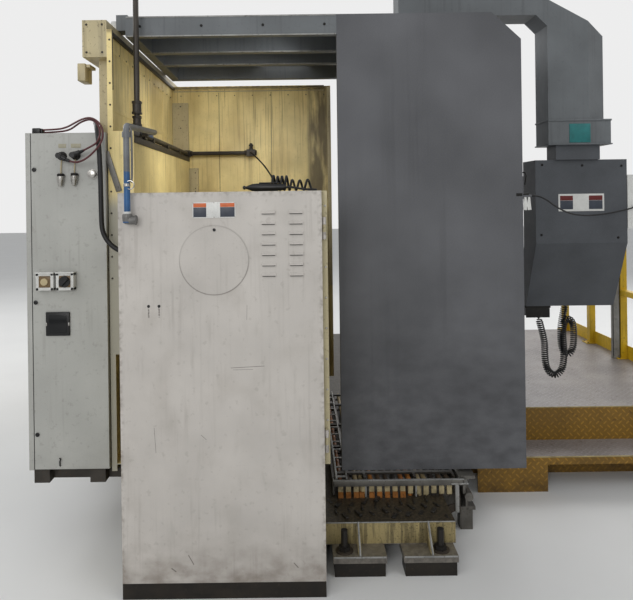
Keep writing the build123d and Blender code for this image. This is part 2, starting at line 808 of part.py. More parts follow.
def cross_slide():
    """The cross slide on its dovetail, with the housing of the turret on top."""
    middle = carriage_middle()
    low = slide_bottom()
    top = low + SLIDE_THICK
    body = block(around(middle, 2 * SLIDE_HALF), (SLIDE_FRONT, SLIDE_REAR), (low, top))
    tail_top = WAY_TOP + RUN_GAP + SADDLE_THICK + TAIL_HEIGHT + FACE_GAP
    groove = [
        (middle - TAIL_FOOT - FACE_GAP, low),
        (middle + TAIL_FOOT + FACE_GAP, low),
        (middle + TAIL_TOP + FACE_GAP, tail_top),
        (middle - TAIL_TOP - FACE_GAP, tail_top),
    ]
    body -= prism_y(groove, (SLIDE_FRONT, SLIDE_REAR))
    case_x = (middle - SLIDE_HALF + TURRET_THICK, middle - SLIDE_HALF + TURRET_THICK + TURRET_CASE_LENGTH)
    case = [
        (TURRET_Y - 150, top),
        (TURRET_Y + 150, top),
        (TURRET_Y + 130, AXIS_Z + 60),
        (TURRET_Y + 60, AXIS_Z + 130),
        (TURRET_Y - 60, AXIS_Z + 130),
        (TURRET_Y - 130, AXIS_Z + 60),
    ]
    body += prism_x(case, case_x)
    body -= rod_x((case_x[0], case_x[0] + 120), TURRET_Y, AXIS_Z, TURRET_SHAFT + RUN_GAP)
    return body


def turret_head():
    """The indexing disc with a holder and a tool at each station."""
    face = carriage_middle() - SLIDE_HALF + TURRET_THICK - FACE_GAP
    x = (face - TURRET_THICK, face)
    disc = Pos((x[0] + x[1]) / 2, 0, 0) * Rot(0, 90, 0)
    disc = disc * extrude(RegularPolygon(TURRET_RADIUS, TURRET_STATIONS), TURRET_THICK / 2, both=True)
    disc += rod_x((x[1], x[1] + 100), 0, 0, TURRET_SHAFT)
    flat = TURRET_RADIUS * math.cos(math.pi / TURRET_STATIONS)
    for number in range(TURRET_STATIONS):
        middle = (x[0] + x[1]) / 2
        holder = block(around(middle, TOOL_SIZE + 20), around(0, TOOL_SIZE), (flat - 4, flat + 22))
        tool = block(around(middle - 8, SHANK_SIZE), around(0, SHANK_SIZE), (flat, flat + TOOL_REACH))
        disc += Rot(360 / TURRET_STATIONS * (number + 0.5), 0, 0) * (holder + tool)
    return Pos(0, TURRET_Y, AXIS_Z) * disc


def ball_screw():
    """The feed screw along the front of the bed, in its two brackets."""
    shaft = rod_x((SCREW_START, BED_END), SCREW_Y, SCREW_Z, SCREW_RADIUS)
    collar = rod_x((SCREW_START + SCREW_BRACKET + 1, SCREW_START + SCREW_BRACKET + 16), SCREW_Y, SCREW_Z, 38)
    return shaft + collar


# Tailstock


def tailstock():
    """The tailstock casting with its barrel and the blind bore of the quill."""
    x = (TAIL_START, TAIL_START + TAIL_LENGTH)
    under = WAY_TOP + RUN_GAP
    base = under + TAIL_BASE_THICK
    side = BED_HALF + FACE_GAP
    outline = [
        (-side, under),
        (side, under),
        (side, WAY_BASE - 60),
        (side + 30, WAY_BASE - 60),
        (side + 30, base),
        (260, base + 40),
        (BARREL_RADIUS, AXIS_Z),
        (-BARREL_RADIUS, AXIS_Z),
        (-260, base + 40),
        (-side - 30, base),
        (-side - 30, WAY_BASE - 60),
        (-side, WAY_BASE - 60),
    ]
    body = prism_x(outline, x) + rod_x(x, 0, AXIS_Z, BARREL_RADIUS)
    depth = QUILL_LENGTH - QUILL_PROUD + 8
    return body - rod_x((x[0], x[0] + depth), 0, AXIS_Z, QUILL_RADIUS + RUN_GAP)


def quill():
    """The quill, with the bore of the live centre in its nose."""
    x = (TAIL_START - QUILL_PROUD, TAIL_START - QUILL_PROUD + QUILL_LENGTH)
    body = rod_x(x, 0, AXIS_Z, QUILL_RADIUS)
    return body - rod_x((x[0], x[0] + 90), 0, AXIS_Z, CENTRE_RADIUS + RUN_GAP)


def live_centre():
    """The live centre: shank, head and 60 degree point."""
    nose = TAIL_START - QUILL_PROUD
    profile = [
        (nose - CENTRE_PROUD - CENTRE_HEAD * math.sqrt(3) * 0.6, 0),
        (nose - CENTRE_PROUD, CENTRE_HEAD * 0.6),
        (nose - CENTRE_PROUD + 8, CENTRE_HEAD),
        (nose - FACE_GAP, CENTRE_HEAD),
        (nose - FACE_GAP, CENTRE_RADIUS),
        (nose + 85, CENTRE_RADIUS),
        (nose + 85, 0),
    ]
    return turned_x(profile, 0, AXIS_Z)


# Fixed guards and rails


def rear_guard():
    """The tall sheet wall behind the machine, with the boxed ledge beside the headstock."""
    x = (GUARD_START, RAIL_END)
    z = (GUARD_BOTTOM, GUARD_TOP)
    body = block(x, (GUARD_Y, GUARD_Y + GUARD_SHEET), z)
    flange = block(x, (BED_HALF, GUARD_Y), (GUARD_BOTTOM + 30, GUARD_BOTTOM + 30 + GUARD_SHEET))
    body += flange - block((CROSS_X - 2, CROSS_X + GUARD_SHEET + 2), (BED_HALF, GUARD_Y), z)
    body += block((x[0], x[0] + GUARD_SHEET), (GUARD_Y - 20, GUARD_Y), z)
    ledge_x = (GUARD_START, CROSS_X)
    sheet = GUARD_SHEET
    body += block(ledge_x, (LEDGE_Y, LEDGE_Y + sheet), (LEDGE_BOTTOM, LEDGE_TOP))
    body += block(ledge_x, (LEDGE_Y, GUARD_Y), (LEDGE_TOP - sheet, LEDGE_TOP))
    body += block(ledge_x, (LEDGE_Y, GUARD_Y), (LEDGE_BOTTOM, LEDGE_BOTTOM + sheet))
    body += block((x[0], x[0] + sheet), (LEDGE_Y, GUARD_Y), (LEDGE_BOTTOM, LEDGE_CAP_TOP))
    return body


def cross_guard():
    """The sheet wall across the machine, cut out round the bed and the nose, its lip clear of the hood."""
    x = (CROSS_X, CROSS_X + GUARD_SHEET)
    y = (CROSS_RIGHT, GUARD_Y)
    body = block(x, y, (GUARD_BOTTOM, GUARD_TOP))
    side = BED_HALF + 4
    body -= block(x, (-side, side), (GUARD_BOTTOM, WAY_TOP + 4))
    body -= rod_x(x, 0, AXIS_Z, NOSE_OPENING)
    lip_y = (HOOD_INNER + LIP_NOTCH, GUARD_Y)
    body += block((x[0] - GUARD_LIP, x[0]), lip_y, (GUARD_TOP - GUARD_SHEET, GUARD_TOP))
    body += block((x[1], x[1] + 26), (y[0], y[0] + GUARD_SHEET), (GUARD_BOTTOM, GUARD_TOP))
    return body


def corner_covers():
    """The two shallow ducts on the cross guard, in the corner of the walls."""
    ducts = []
    for y, z in DUCTS:
        body = block((CROSS_X - DUCT_DEPTH, CROSS_X), y, z)
        inner_y = (y[0] + DUCT_SHEET, y[1] - DUCT_SHEET)
        inner_z = (z[0] + DUCT_SHEET, z[1] - DUCT_SHEET)
        ducts.append(body - block((CROSS_X - DUCT_DEPTH + DUCT_SHEET, CROSS_X), inner_y, inner_z))
    return Compound(children=ducts)


def rear_rail():
    """The box beam that carries the hood at the rear, and its posts down to the cabinet's base."""
    y = (GUARD_Y + GUARD_SHEET, GUARD_Y + GUARD_SHEET + RAIL_REACH)
    x = (GUARD_START, RAIL_END)
    wall = RAIL_WALL
    beam = block(x, y, (RAIL_BOTTOM, RAIL_TOP))
    beam -= block(x, (y[0] + wall, y[1] - wall), (RAIL_BOTTOM + wall, RAIL_TOP - wall))
    beam += block((x[0], x[0] + wall), y, (RAIL_BOTTOM, RAIL_TOP))
    for place in POST_PLACES:
        bottom = CABINET_TOP if place < CABINET_START + CABINET_LENGTH else GUARD_BOTTOM
        beam += block(around(place, POST_SIZE), around(y[0] + 36, POST_SIZE), (bottom, RAIL_BOTTOM))
    return beam


def front_rail():
    """The channel rail along the front, its end plate and the brackets to the bed's base."""
    middle = (FRONT_RAIL_FRONT + FRONT_RAIL_REAR) / 2
    web = FRONT_RAIL_WEB / 2
    low, high = FRONT_RAIL_BOTTOM, FRONT_RAIL_TOP
    flange = FRONT_RAIL_FLANGE
    outline = [
        (FRONT_RAIL_FRONT, low),
        (FRONT_RAIL_REAR, low),
        (FRONT_RAIL_REAR, low + flange),
        (middle + web, low + flange),
        (middle + web, high - flange),
        (FRONT_RAIL_REAR, high - flange),
        (FRONT_RAIL_REAR, high),
        (FRONT_RAIL_FRONT, high),
        (FRONT_RAIL_FRONT, high - flange),
        (middle - web, high - flange),
        (middle - web, low + flange),
        (FRONT_RAIL_FRONT, low + flange),
    ]
    rail = prism_x(outline, (FRONT_RAIL_START, RAIL_END))
    for place in RAIL_PLACES:
        arm = block(around(place, 12), (FRONT_RAIL_REAR, BASE_FRONT), (low, BASE_TOP))
        leg = block(around(place, RAIL_LEG), around(middle, RAIL_LEG), (0, low))
        rail += arm + leg
    buffer_x = (FRONT_RAIL_START - BUFFER_REACH, FRONT_RAIL_START + 20)
    return rail + rod_x(buffer_x, middle, (low + high) / 2, BUFFER_RADIUS)


# Cable carrier


def cable_carrier():
    """The open frame of the carrier: long bars, cross stays and a front rail."""
    bars = None
    z = (CARRIER_BOTTOM, CARRIER_TOP)
    for front in CARRIER_BARS:
        bar = block((CARRIER_START, CARRIER_END), (front, front + CARRIER_BAR), (BASE_TOP, CARRIER_TOP + 22))
        bars = bar if bars is None else bars + bar
    for place in CARRIER_STAYS:
        bars += block(around(place, STAY_WIDTH), (CARRIER_FRONT, CARRIER_REAR), (z[0], z[0] + STAY_THICK))
        top = (CARRIER_TOP + 22 - STAY_THICK, CARRIER_TOP + 22)
        bars += block(around(place, STAY_WIDTH), (CARRIER_FRONT, CARRIER_REAR), top)
    return bars


def clear_of_bars(y):
    """A cable's place, moved off a long bar to the side that it is nearer to."""
    room = CARRIER_BAR / 2 + CABLE_RADIUS + 1
    for front in CARRIER_BARS:
        middle = front + CARRIER_BAR / 2
        if abs(y - middle) < room:
            return middle + math.copysign(room, y - middle)
    return y


def carrier_cables():
    """Cables side by side along the carrier, turned down into their clamps at its near end."""
    cables = []
    height = CARRIER_BOTTOM + STAY_THICK + CABLE_RADIUS + FACE_GAP
    near = CARRIER_START - 14
    for number in range(CABLE_COUNT):
        y = clear_of_bars(CABLE_FIRST + CABLE_PITCH * (number + 0.5))
        route = [(CARRIER_END, y, height), (near, y, height), (near, y, BASE_TOP + 1)]
        cables.append(tube(f"cable {number + 1}", route, CABLE_RADIUS, [CABLE_BEND - 10]))
    return Compound(children=cables)


def cable_clamps():
    """The row of clamps on the ledge that holds the cables' ends."""
    near = CARRIER_START - 14
    x = (near - 26, near - CABLE_RADIUS - FACE_GAP)
    clamps = []
    for number in range(CLAMPED_FROM, CABLE_COUNT):
        y = clear_of_bars(CABLE_FIRST + CABLE_PITCH * (number + 0.5))
        clamps.append(block(x, around(y, CLAMP_WIDTH), (BASE_TOP, BASE_TOP + CLAMP_HEIGHT)))
    return Compound(children=clamps)


# Electric cabinet


def cabinet_body():
    """The cabinet's shell, closed by its end panel at the near end."""
    x = (CABINET_START + PANEL_THICK, CABINET_START + CABINET_LENGTH)
    y = (CABINET_RIGHT, CABINET_LEFT)
    z = (CABINET_BOTTOM, CABINET_TOP)
    wall = CABINET_SHEET
    body = block(x, y, z)
    body -= block((x[0], x[1] - wall), (y[0] + wall, y[1] - wall), (z[0] + wall, z[1] - wall))
    strip_y = (CABINET_LEFT - PANEL_STRIP, CABINET_LEFT)
    strip = block((CABINET_START, x[0]), strip_y, (CABINET_BOTTOM, CABINET_TOP))
    return body + strip


def cabinet_base():
    """The beams under the cabinet, tied to the bed's rear wall, with two legs at the rear."""
    z = (CABINET_BOTTOM - BEAM_HEIGHT, CABINET_BOTTOM)
    far = CABINET_START + CABINET_LENGTH
    base = None
    for y in (CABINET_RIGHT + 20, CABINET_LEFT - 90):
        beam = block((CABINET_START + 6, far - 20), (y, y + BEAM_WIDTH), z)
        base = beam if base is None else base + beam
    for x in (CABINET_START + 60, (CABINET_START + far) / 2, far - 120):
        base += block((x, x + BEAM_WIDTH), (BED_HALF, CABINET_LEFT - 20), (z[0], GUARD_BOTTOM - 1))
    for x in ((CABINET_START + far) / 2, far - 120):
        base += block((x, x + BEAM_WIDTH), (CABINET_LEFT - 90, CABINET_LEFT - 20), (0, z[0]))
    return base


def cabinet_end_panel():
    """The lift-off end panel with its three quarter-turn locks."""
    y = (CABINET_RIGHT, CABINET_LEFT - PANEL_STRIP - 4)
    face = CABINET_START
    panel = block((face, face + PANEL_THICK), y, (CABINET_BOTTOM + 4, CABINET_TOP - 4))
    for height in LOCK_HEIGHTS:
        panel += rod_x((face - 3, face), y[1] - 14, height, 9)
    panel += block((face - 5, face), VENT_SPAN_Y, VENT_SPAN_Z)
    return panel


def cabinet_fittings():
    """Plug sockets with hanging caps, a knob and the two switch boxes on the end panel."""
    face = CABINET_START
    pieces = []
    for (y, z), tilt in zip(CONNECTORS, PLUG_TILTS):
        socket = rod_x((face - CONNECTOR_LENGTH, face), y, z, CONNECTOR_RADIUS)
        plug = Rot(tilt, 0, 0) * rod_y(0, (-PLUG_LENGTH, 0), 0, PLUG_RADIUS)
        plug += rod_x((-PLUG_REACH, PLUG_REACH), 0, 0, PLUG_RADIUS + 1.5)
        plug = Pos(face - CONNECTOR_LENGTH - PLUG_REACH, y, z) * plug
        cap = rod_x((face - 12, face), y + 6, z - 92, CONNECTOR_RADIUS - 2)
        pieces += [socket + plug, cap]
    pieces.append(rod_x((face - 24, face), 596, 1731, 18))
    for middle, radius in ((BUTTON_BOX_Y, BUTTON_RADIUS), (ROTARY_BOX_Y, 8.0)):
        y = around(middle, SWITCH_BOX)
        z = around(SWITCH_BOX_Z, SWITCH_BOX)
        box = block((face - SWITCH_BOX_DEPTH, face), y, z)
        hole = rod_x((face - SWITCH_BOX_DEPTH, face - 10), middle, SWITCH_BOX_Z, radius + RUN_GAP)
        pieces.append(box - hole)
    return Compound(children=pieces)


def main_switch():
    """The rotary switch: dial, raised bar and spindle."""
    face = CABINET_START - SWITCH_BOX_DEPTH
    dial = rod_x((face - 8, face - FACE_GAP), 0, 0, DIAL_RADIUS)
    grip = block((face - 22, face - 8), (-6, 6), (-DIAL_RADIUS + 2, DIAL_RADIUS - 2))
    shaft = rod_x((face - FACE_GAP, face + 18), 0, 0, 8.0)
    return Pos(0, ROTARY_BOX_Y, SWITCH_BOX_Z) * Rot(45, 0, 0) * (dial + grip + shaft)


def start_button():
    """The round push button in its box."""
    face = CABINET_START - SWITCH_BOX_DEPTH
    return rod_x((face - BUTTON_PROUD, face + 14), BUTTON_BOX_Y, SWITCH_BOX_Z, BUTTON_RADIUS)


# Sliding hood


def hood_end_panel():
    """The hood's near end: a folded tray with a cut corner."""
    outline = [
        (HOOD_INNER, HOOD_BOTTOM),
        (HOOD_INNER, HOOD_TOP),
        (HOOD_FRONT + HOOD_BEVEL_Y, HOOD_TOP),
        (HOOD_FRONT, HOOD_TOP - HOOD_BEVEL_Z),
        (HOOD_FRONT, HOOD_BOTTOM),
    ]
    body = prism_x(outline, (HOOD_START, HOOD_START + HOOD_FOLD))
    body -= hollow(outline, HOOD_SHEET, (HOOD_START + HOOD_SHEET, HOOD_START + HOOD_FOLD))
    hook = block((HOOK_X - 7, HOOK_X + 7), (HOOK_TIP, HOOD_FRONT), around(HOOK_Z, 12))
    clamp = block((HOOK_X - 7, HOOK_X + 7), (HOOD_FRONT - 6, HOOD_FRONT), around(HOOK_Z + 40, 110))
    return body + hook + clamp


def hollow(outline, wall, x):
    """The space inside an outline of (y, z) points, a wall away from it."""
    face = Plane.YZ.offset(x[0]) * make_face(Polyline(*outline, close=True))
    return extrude(offset(face, -wall), amount=x[1] - x[0], dir=(1, 0, 0))


def hood_frame():
    """The welded frame of the hood with its roof sheet, ribs and roller brackets."""
    tube_size = HOOD_TUBE
    inside = HOOD_START + HOOD_FOLD
    front = HOOD_FRONT + HOOD_SHEET
    roof_under = HOOD_TOP - ROOF_SHEET
    bevel_y = HOOD_FRONT + HOOD_BEVEL_Y
    body = block((HOOD_START, inside), (HOOD_INNER, BEAM_REAR), (BEAM_BOTTOM, HOOD_TOP))
    body += block((inside, HOOD_END), (bevel_y, BEAM_REAR), (roof_under, HOOD_TOP))
    body -= block(ROOF_OPENING_X, ROOF_OPENING_Y, (roof_under, HOOD_TOP))
    for y in ((bevel_y, bevel_y + tube_size), (BEAM_REAR - tube_size, BEAM_REAR)):
        body += block((inside, HOOD_END), y, (BEAM_BOTTOM, roof_under))
    for x in [around(place, tube_size) for place in RIB_PLACES] + [(HOOD_END - tube_size, HOOD_END)]:
        body += block(x, (bevel_y, BEAM_REAR), (BEAM_BOTTOM, roof_under))
    post_top = HOOD_TOP - HOOD_BEVEL_Z - 8
    body += block((HOOD_END - tube_size, HOOD_END), (front, front + tube_size), (HOOD_BOTTOM, post_top))
    corner = [(front, post_top), (front + tube_size, post_top), (bevel_y + 40, BEAM_BOTTOM)]
    corner += [(bevel_y + 4, roof_under - 4)]
    body += prism_x(corner, (HOOD_END - tube_size, HOOD_END))
    body += block((inside, HOOD_END), (front, front + tube_size), (HOOD_BOTTOM, HOOD_BOTTOM + tube_size))
    rail_middle = (FRONT_RAIL_FRONT + FRONT_RAIL_REAR) / 2
    for x in (inside + ROLLER_RADIUS + 12, HOOD_END - ROLLER_RADIUS - 12):
        height = FRONT_RAIL_TOP + FACE_GAP + ROLLER_RADIUS
        arm = block(around(x, 46), (front + tube_size, rail_middle - ROLLER_WIDTH / 2), around(height, 40))
        body += arm + rod_y(x, around(rail_middle, ROLLER_WIDTH), height, ROLLER_RADIUS)
        rear_height = RAIL_TOP + FACE_GAP + ROLLER_RADIUS
        rear_y = (GUARD_Y + GUARD_SHEET + 14, GUARD_Y + GUARD_SHEET + 14 + ROLLER_WIDTH)
        plate = block(around(x, 90), (BEAM_REAR, rear_y[0]), (RAIL_TOP + 6, HOOD_TOP + 20))
        body += plate + rod_y(x, rear_y, rear_height, ROLLER_RADIUS)
    return body


def hood_front():
    """The hood's front sheet, folded over the bevel, with the doorway."""
    sheet = HOOD_SHEET
    knee = HOOD_TOP - HOOD_BEVEL_Z
    bevel_y = HOOD_FRONT + HOOD_BEVEL_Y
    outline = [
        (HOOD_FRONT, HOOD_BOTTOM),
        (HOOD_FRONT + sheet, HOOD_BOTTOM),
        (HOOD_FRONT + sheet, knee - 1),
        (bevel_y, HOOD_TOP - 1.4 * sheet),
        (bevel_y, HOOD_TOP),
        (HOOD_FRONT, knee),
    ]
    body = prism_x(outline, (HOOD_START + HOOD_FOLD, HOOD_END))
    return body - block(DOORWAY, (HOOD_FRONT, HOOD_FRONT + sheet), (DOORWAY_BOTTOM, DOORWAY_TOP))


def door_span_y():
    """The sliding door's thickness along Y, outside the front sheet."""
    back = HOOD_FRONT - FACE_GAP
    return (back - DOOR_THICK + 8, back)


def hood_door():
    """The sliding door with its window frame and bar handle."""
    y = door_span_y()
    x = (DOORWAY[0] - DOOR_LAP, DOORWAY[1] + DOOR_LAP)
    z = (DOORWAY_BOTTOM - DOOR_LAP, DOORWAY_TOP + DOOR_LAP)
    body = block(x, y, z)
    body -= block(WINDOW, y, (WINDOW_BOTTOM, WINDOW_TOP))
    bar_x = x[0] + 30
    return body + rod_z(bar_x, y[0] - DOOR_BAR_REACH, DOOR_BAR, DOOR_BAR_RADIUS) + handle_feet(bar_x, y[0])


def handle_feet(x, face):
    """The two feet of the door's bar handle."""
    span = (face - DOOR_BAR_REACH, face)
    low, high = DOOR_BAR[0] + DOOR_BAR_FEET, DOOR_BAR[1] - DOOR_BAR_FEET
    return rod_y(x, span, low, DOOR_FOOT_RADIUS) + rod_y(x, span, high, DOOR_FOOT_RADIUS)


def hood_window():
    """The glass of the sliding door."""
    middle = sum(door_span_y()) / 2
    return block(WINDOW, around(middle, GLASS_THICK), (WINDOW_BOTTOM, WINDOW_TOP))


# Boom and pendant


def boom():
    """The box boom from the hood's roof to the swivel over the pendant."""
    outline = [
        (COLUMN_RIGHT, COLUMN_BOTTOM),
        (COLUMN_LEFT, COLUMN_BOTTOM),
        (COLUMN_LEFT, BOOM_UNDER - BOOM_BEND),
        (COLUMN_LEFT + BOOM_BEND, BOOM_UNDER),
        (BOOM_END, BOOM_UNDER),
        (BOOM_END, BOOM_TOP),
        (COLUMN_RIGHT + BOOM_SHOULDER, BOOM_TOP),
        (COLUMN_RIGHT, BOOM_TOP - BOOM_SLOPE),
    ]
    x = (BOOM_X, BOOM_X + BOOM_DEPTH)
    body = prism_x(outline, x)
    bevel = [(x[0], COLUMN_RIGHT), (x[0], COLUMN_RIGHT + COLUMN_BEVEL), (x[0] + COLUMN_CUT, COLUMN_RIGHT)]
    corner = make_face(Polyline(*bevel, close=True))
    rise = BOOM_TOP - COLUMN_BLOCK_TOP
    body -= Pos(0, 0, COLUMN_BLOCK_TOP) * extrude(corner, amount=rise)
    long, lip = BOOM_FOOT
    body += block((x[0] - lip, x[1] + lip), (BOOM_END - long, BOOM_END), (HOOD_TOP, BOOM_UNDER))
    socket = (COLUMN_BOTTOM, COLUMN_BOTTOM + SPIGOT_LENGTH + 4)
    return body - rod_z(*pendant_axis(), socket, SPIGOT_RADIUS + RUN_GAP)


def pendant_axis():
    """Place of the pendant's swivel."""
    return (BOOM_X + BOOM_DEPTH / 2, (COLUMN_LEFT + COLUMN_RIGHT) / 2)


def pendant_case():
    """The pendant's housing with its neck and the spigot in the boom."""
    back = PENDANT_BACK
    front = back + PENDANT_DEPTH
    side = [
        (back, PENDANT_TOP),
        (back, PENDANT_KNEE),
        (back + PENDANT_SLOPE, PENDANT_BOTTOM),
        (front + 60, PENDANT_BOTTOM),
        (front + 60, PENDANT_BOTTOM + 90),
        (front, PENDANT_KNEE - 20),
        (front, PENDANT_TOP),
    ]
    body = prism_y(side, (PENDANT_RIGHT, PENDANT_LEFT))
    x, y = pendant_axis()
    neck = block(around(x, 130), around(y, NECK_SIZE), (PENDANT_TOP, COLUMN_BOTTOM - FACE_GAP))
    spigot = rod_z(x, y, (COLUMN_BOTTOM - FACE_GAP, COLUMN_BOTTOM + SPIGOT_LENGTH), SPIGOT_RADIUS)
    hole = rod_x((front - 20, front), PENDANT_LEFT - 60, PENDANT_KNEE + 40, 14 + RUN_GAP)
    return body + neck + spigot - hole


def pendant_face():
    """The screen and the key field on the operator's side."""
    front = PENDANT_BACK + PENDANT_DEPTH
    screen_y = (PENDANT_RIGHT + 50, PENDANT_LEFT - 110)
    screen = block((front, front + 6), screen_y, (PENDANT_KNEE + 90, PENDANT_TOP - 40))
    return screen


def e_stop():
    """The mushroom button beside the screen."""
    front = PENDANT_BACK + PENDANT_DEPTH
    y = PENDANT_LEFT - 60
    z = PENDANT_KNEE + 40
    return rod_x((front - 12, front + 14), y, z, 14) + rod_x((front + 8, front + 24), y, z, STOP_RADIUS)


def side_box():
    """The white control box on the pendant's side, with two knobs."""
    y = (PENDANT_RIGHT - SIDE_BOX_WIDTH, PENDANT_RIGHT)
    body = block((PENDANT_BACK - 6, PENDANT_BACK + 124), y, (1420, 1716))
    for z in (1500.0, 1650.0):
        body += rod_y(PENDANT_BACK + 50, (y[0] - 24, y[0]), z, 20)
    return body


def handset():
    """The handset in its holder under the pendant."""
    x = around(PENDANT_BACK + PENDANT_SLOPE + CORD_INSET, 70)
    y = (-1786.0, -1660.0)
    return block(x, y, (PENDANT_BOTTOM - HANDSET_DROP, PENDANT_BOTTOM))


def curly_cord():
    """The handset's curly cord, drawn at its outer diameter."""
    x = PENDANT_BACK + PENDANT_SLOPE + CORD_INSET
    top = PENDANT_BOTTOM - HANDSET_DROP
    route = [
        (x, -1714, top),
        (x, -1714, 750),
        (x, -1720, 602),
        (x, -1778, 602),
        (x, -1782, 760),
        (x, -1786, 876),
        (x, -1838, 876),
        (x, -1842, 780),
        (x, -1844, 692),
        (x, -1900, 692),
        (x, -1904, 800),
        (x, -1904, PENDANT_BOTTOM),
    ]
    return tube("curly_cord", route, CURLY_RADIUS)


def pendant_cord():
    """The thin cord that sags from the hood's edge behind the pendant to the side box."""
    points = [
        (HOOK_X, HOOK_TIP, HOOK_Z),
        (HOOK_X, -1514, HOOK_Z),
        (575, -1562, 1588),
        (630, -1625, 1556),
        (705, -1705, 1524),
        (790, -1800, 1503),
        (865, -1900, 1495),
        (905, -2000, 1500),
        (916, -2090, 1514),
        (916, -2150, 1528),
        (922, -2180, 1537),
        (941, -2194, 1542),
    ]
    return tube("pendant_cord", points, THIN_CORD_RADIUS)


# Operator platform


def platform():
    """Steps and deck of tread plate on folded risers."""
    sheet = TREAD_SHEET
    y = (DECK_OUTER, DECK_INNER)
    body = block((STEP_START, DECK_START), (DECK_OUTER, STEP_INNER), (STEP_HEIGHT - sheet, STEP_HEIGHT))
    body += block((STEP_START, STEP_START + sheet), (DECK_OUTER, STEP_INNER), (STRIP_BOTTOM, STEP_HEIGHT))
    body += block((STEP_START, STEP_START + sheet), (LEG_PLATE_END, STEP_INNER), (0, STEP_HEIGHT))
    body += block((DECK_START, DECK_END), y, (DECK_HEIGHT - sheet, DECK_HEIGHT))
    body += block((DECK_START, DECK_START + sheet), (DECK_OUTER, STEP_INNER), (0, STEP_HEIGHT))
    body += block((DECK_START, DECK_START + sheet), y, (STEP_HEIGHT, DECK_HEIGHT))
    body += block((DECK_END - sheet, DECK_END), y, (0, DECK_HEIGHT))
    for side in (y[0], y[1] - sheet):
        body += block((DECK_START, DECK_END), (side, side + sheet), (0, DECK_HEIGHT))
    body += block((STEP_START, DECK_START), (DECK_OUTER, DECK_OUTER + sheet), (0, STEP_HEIGHT))
    rail_leg = (FRONT_RAIL_FRONT + FRONT_RAIL_REAR - RAIL_LEG) / 2
    for place in RAIL_PLACES[1:3]:
        body += block(around(place, 40), (DECK_INNER, rail_leg), (30, 60))
    return body


def railing():
    """Posts, rails and kick plate along the deck's outer edge."""
    size = RAILING_SIZE
    y = (DECK_OUTER, DECK_OUTER + size)
    last = RAILING_FIRST + RAILING_PITCH * (RAILING_POSTS - 1)
    body = block((RAILING_FIRST, last), y, (RAILING_TOP - size, RAILING_TOP))
    body += block((RAILING_FIRST, last), y, around(RAILING_MID, size * 0.8))
    body += block((RAILING_FIRST, last), (y[0], y[0] + 8), (DECK_HEIGHT, DECK_HEIGHT + KICK_HEIGHT))
    for number in range(RAILING_POSTS):
        x = RAILING_FIRST + RAILING_PITCH * number
        body += block(around(x, size), y, (DECK_HEIGHT, RAILING_TOP))
    return body


# Air pipes


def air_pipe():
    """The drop pipe, the tee at its foot and the run along the guard to the cross guard."""
    drop = rod_z(DROP_X, DROP_Y, (PIPE_Z, DROP_TOP), PIPE_RADIUS)
    for low, high, radius in COUPLINGS:
        drop += rod_z(DROP_X, DROP_Y, (low, high), radius)
    tee = rod_x((DROP_X - 30, DROP_X + 40), DROP_Y, PIPE_Z, TEE_RADIUS)
    tee += rod_z(DROP_X, DROP_Y, (PIPE_Z - TEE_RADIUS, PIPE_Z + 30), TEE_RADIUS)
    end = CROSS_X - 60
    run = rod_x((DROP_X, end), DROP_Y, PIPE_Z, PIPE_RADIUS)
    elbow = block(around(end, 44), around(DROP_Y, 44), around(PIPE_Z, 44))
    across = rod_y(end, (-20, DROP_Y), PIPE_Z, PIPE_RADIUS)
    cross = block(around(end, 46), around(-20, 60), around(PIPE_Z, 46))
    valve = rod_z(end, -20, (PIPE_Z, PIPE_Z + 50), 12)
    valve += block(around(DROP_X + VALVE_REACH, 50), around(DROP_Y, VALVE_SIZE), around(PIPE_Z, VALVE_SIZE))
    body = drop + tee + run + elbow + across + cross + valve
    body -= rod_z(DROP_X, DROP_Y, (DROP_TOP - INLET_DEPTH, DROP_TOP), INLET_RADIUS)
    for x in CLAMP_PLACES:
        body += block(around(x, 26), around(DROP_Y, 34), (LEDGE_TOP, PIPE_Z))
    return body


def leg_pipe():
    """The leg that hangs in front of the cover, from the tee, with its end elbow."""
    route = [
        (LEG_X, LEG_Y, LEG_BOTTOM),
        (LEG_X, LEG_Y, LEG_TOP),
        (DROP_X, LEG_Y, PIPE_Z),
        (DROP_X, DROP_Y - TEE_RADIUS, PIPE_Z),
    ]
    body = tube("leg_pipe", route, LEG_RADIUS, [20, 20])
    body += rod_z(LEG_X, LEG_Y, (LEG_BOTTOM - 12, LEG_BOTTOM + 20), 18)
    body += rod_z(LEG_X, LEG_Y, (LEG_TOP - 46, LEG_TOP - 24), 17)
    body += rod_y(LEG_X, (LEG_Y - 34, LEG_Y), LEG_BOTTOM - 2, 17)
    return body


def valve_handle():
    """The lever of the ball valve on the wall pipe."""
    x = DROP_X + VALVE_REACH
    face = DROP_Y - VALVE_SIZE / 2
    lever = block((x - 10, x + 90), (face - 14, face - 8), around(PIPE_Z, 16))
    return lever + rod_y(x, (face - 8, face - FACE_GAP), PIPE_Z, 9)


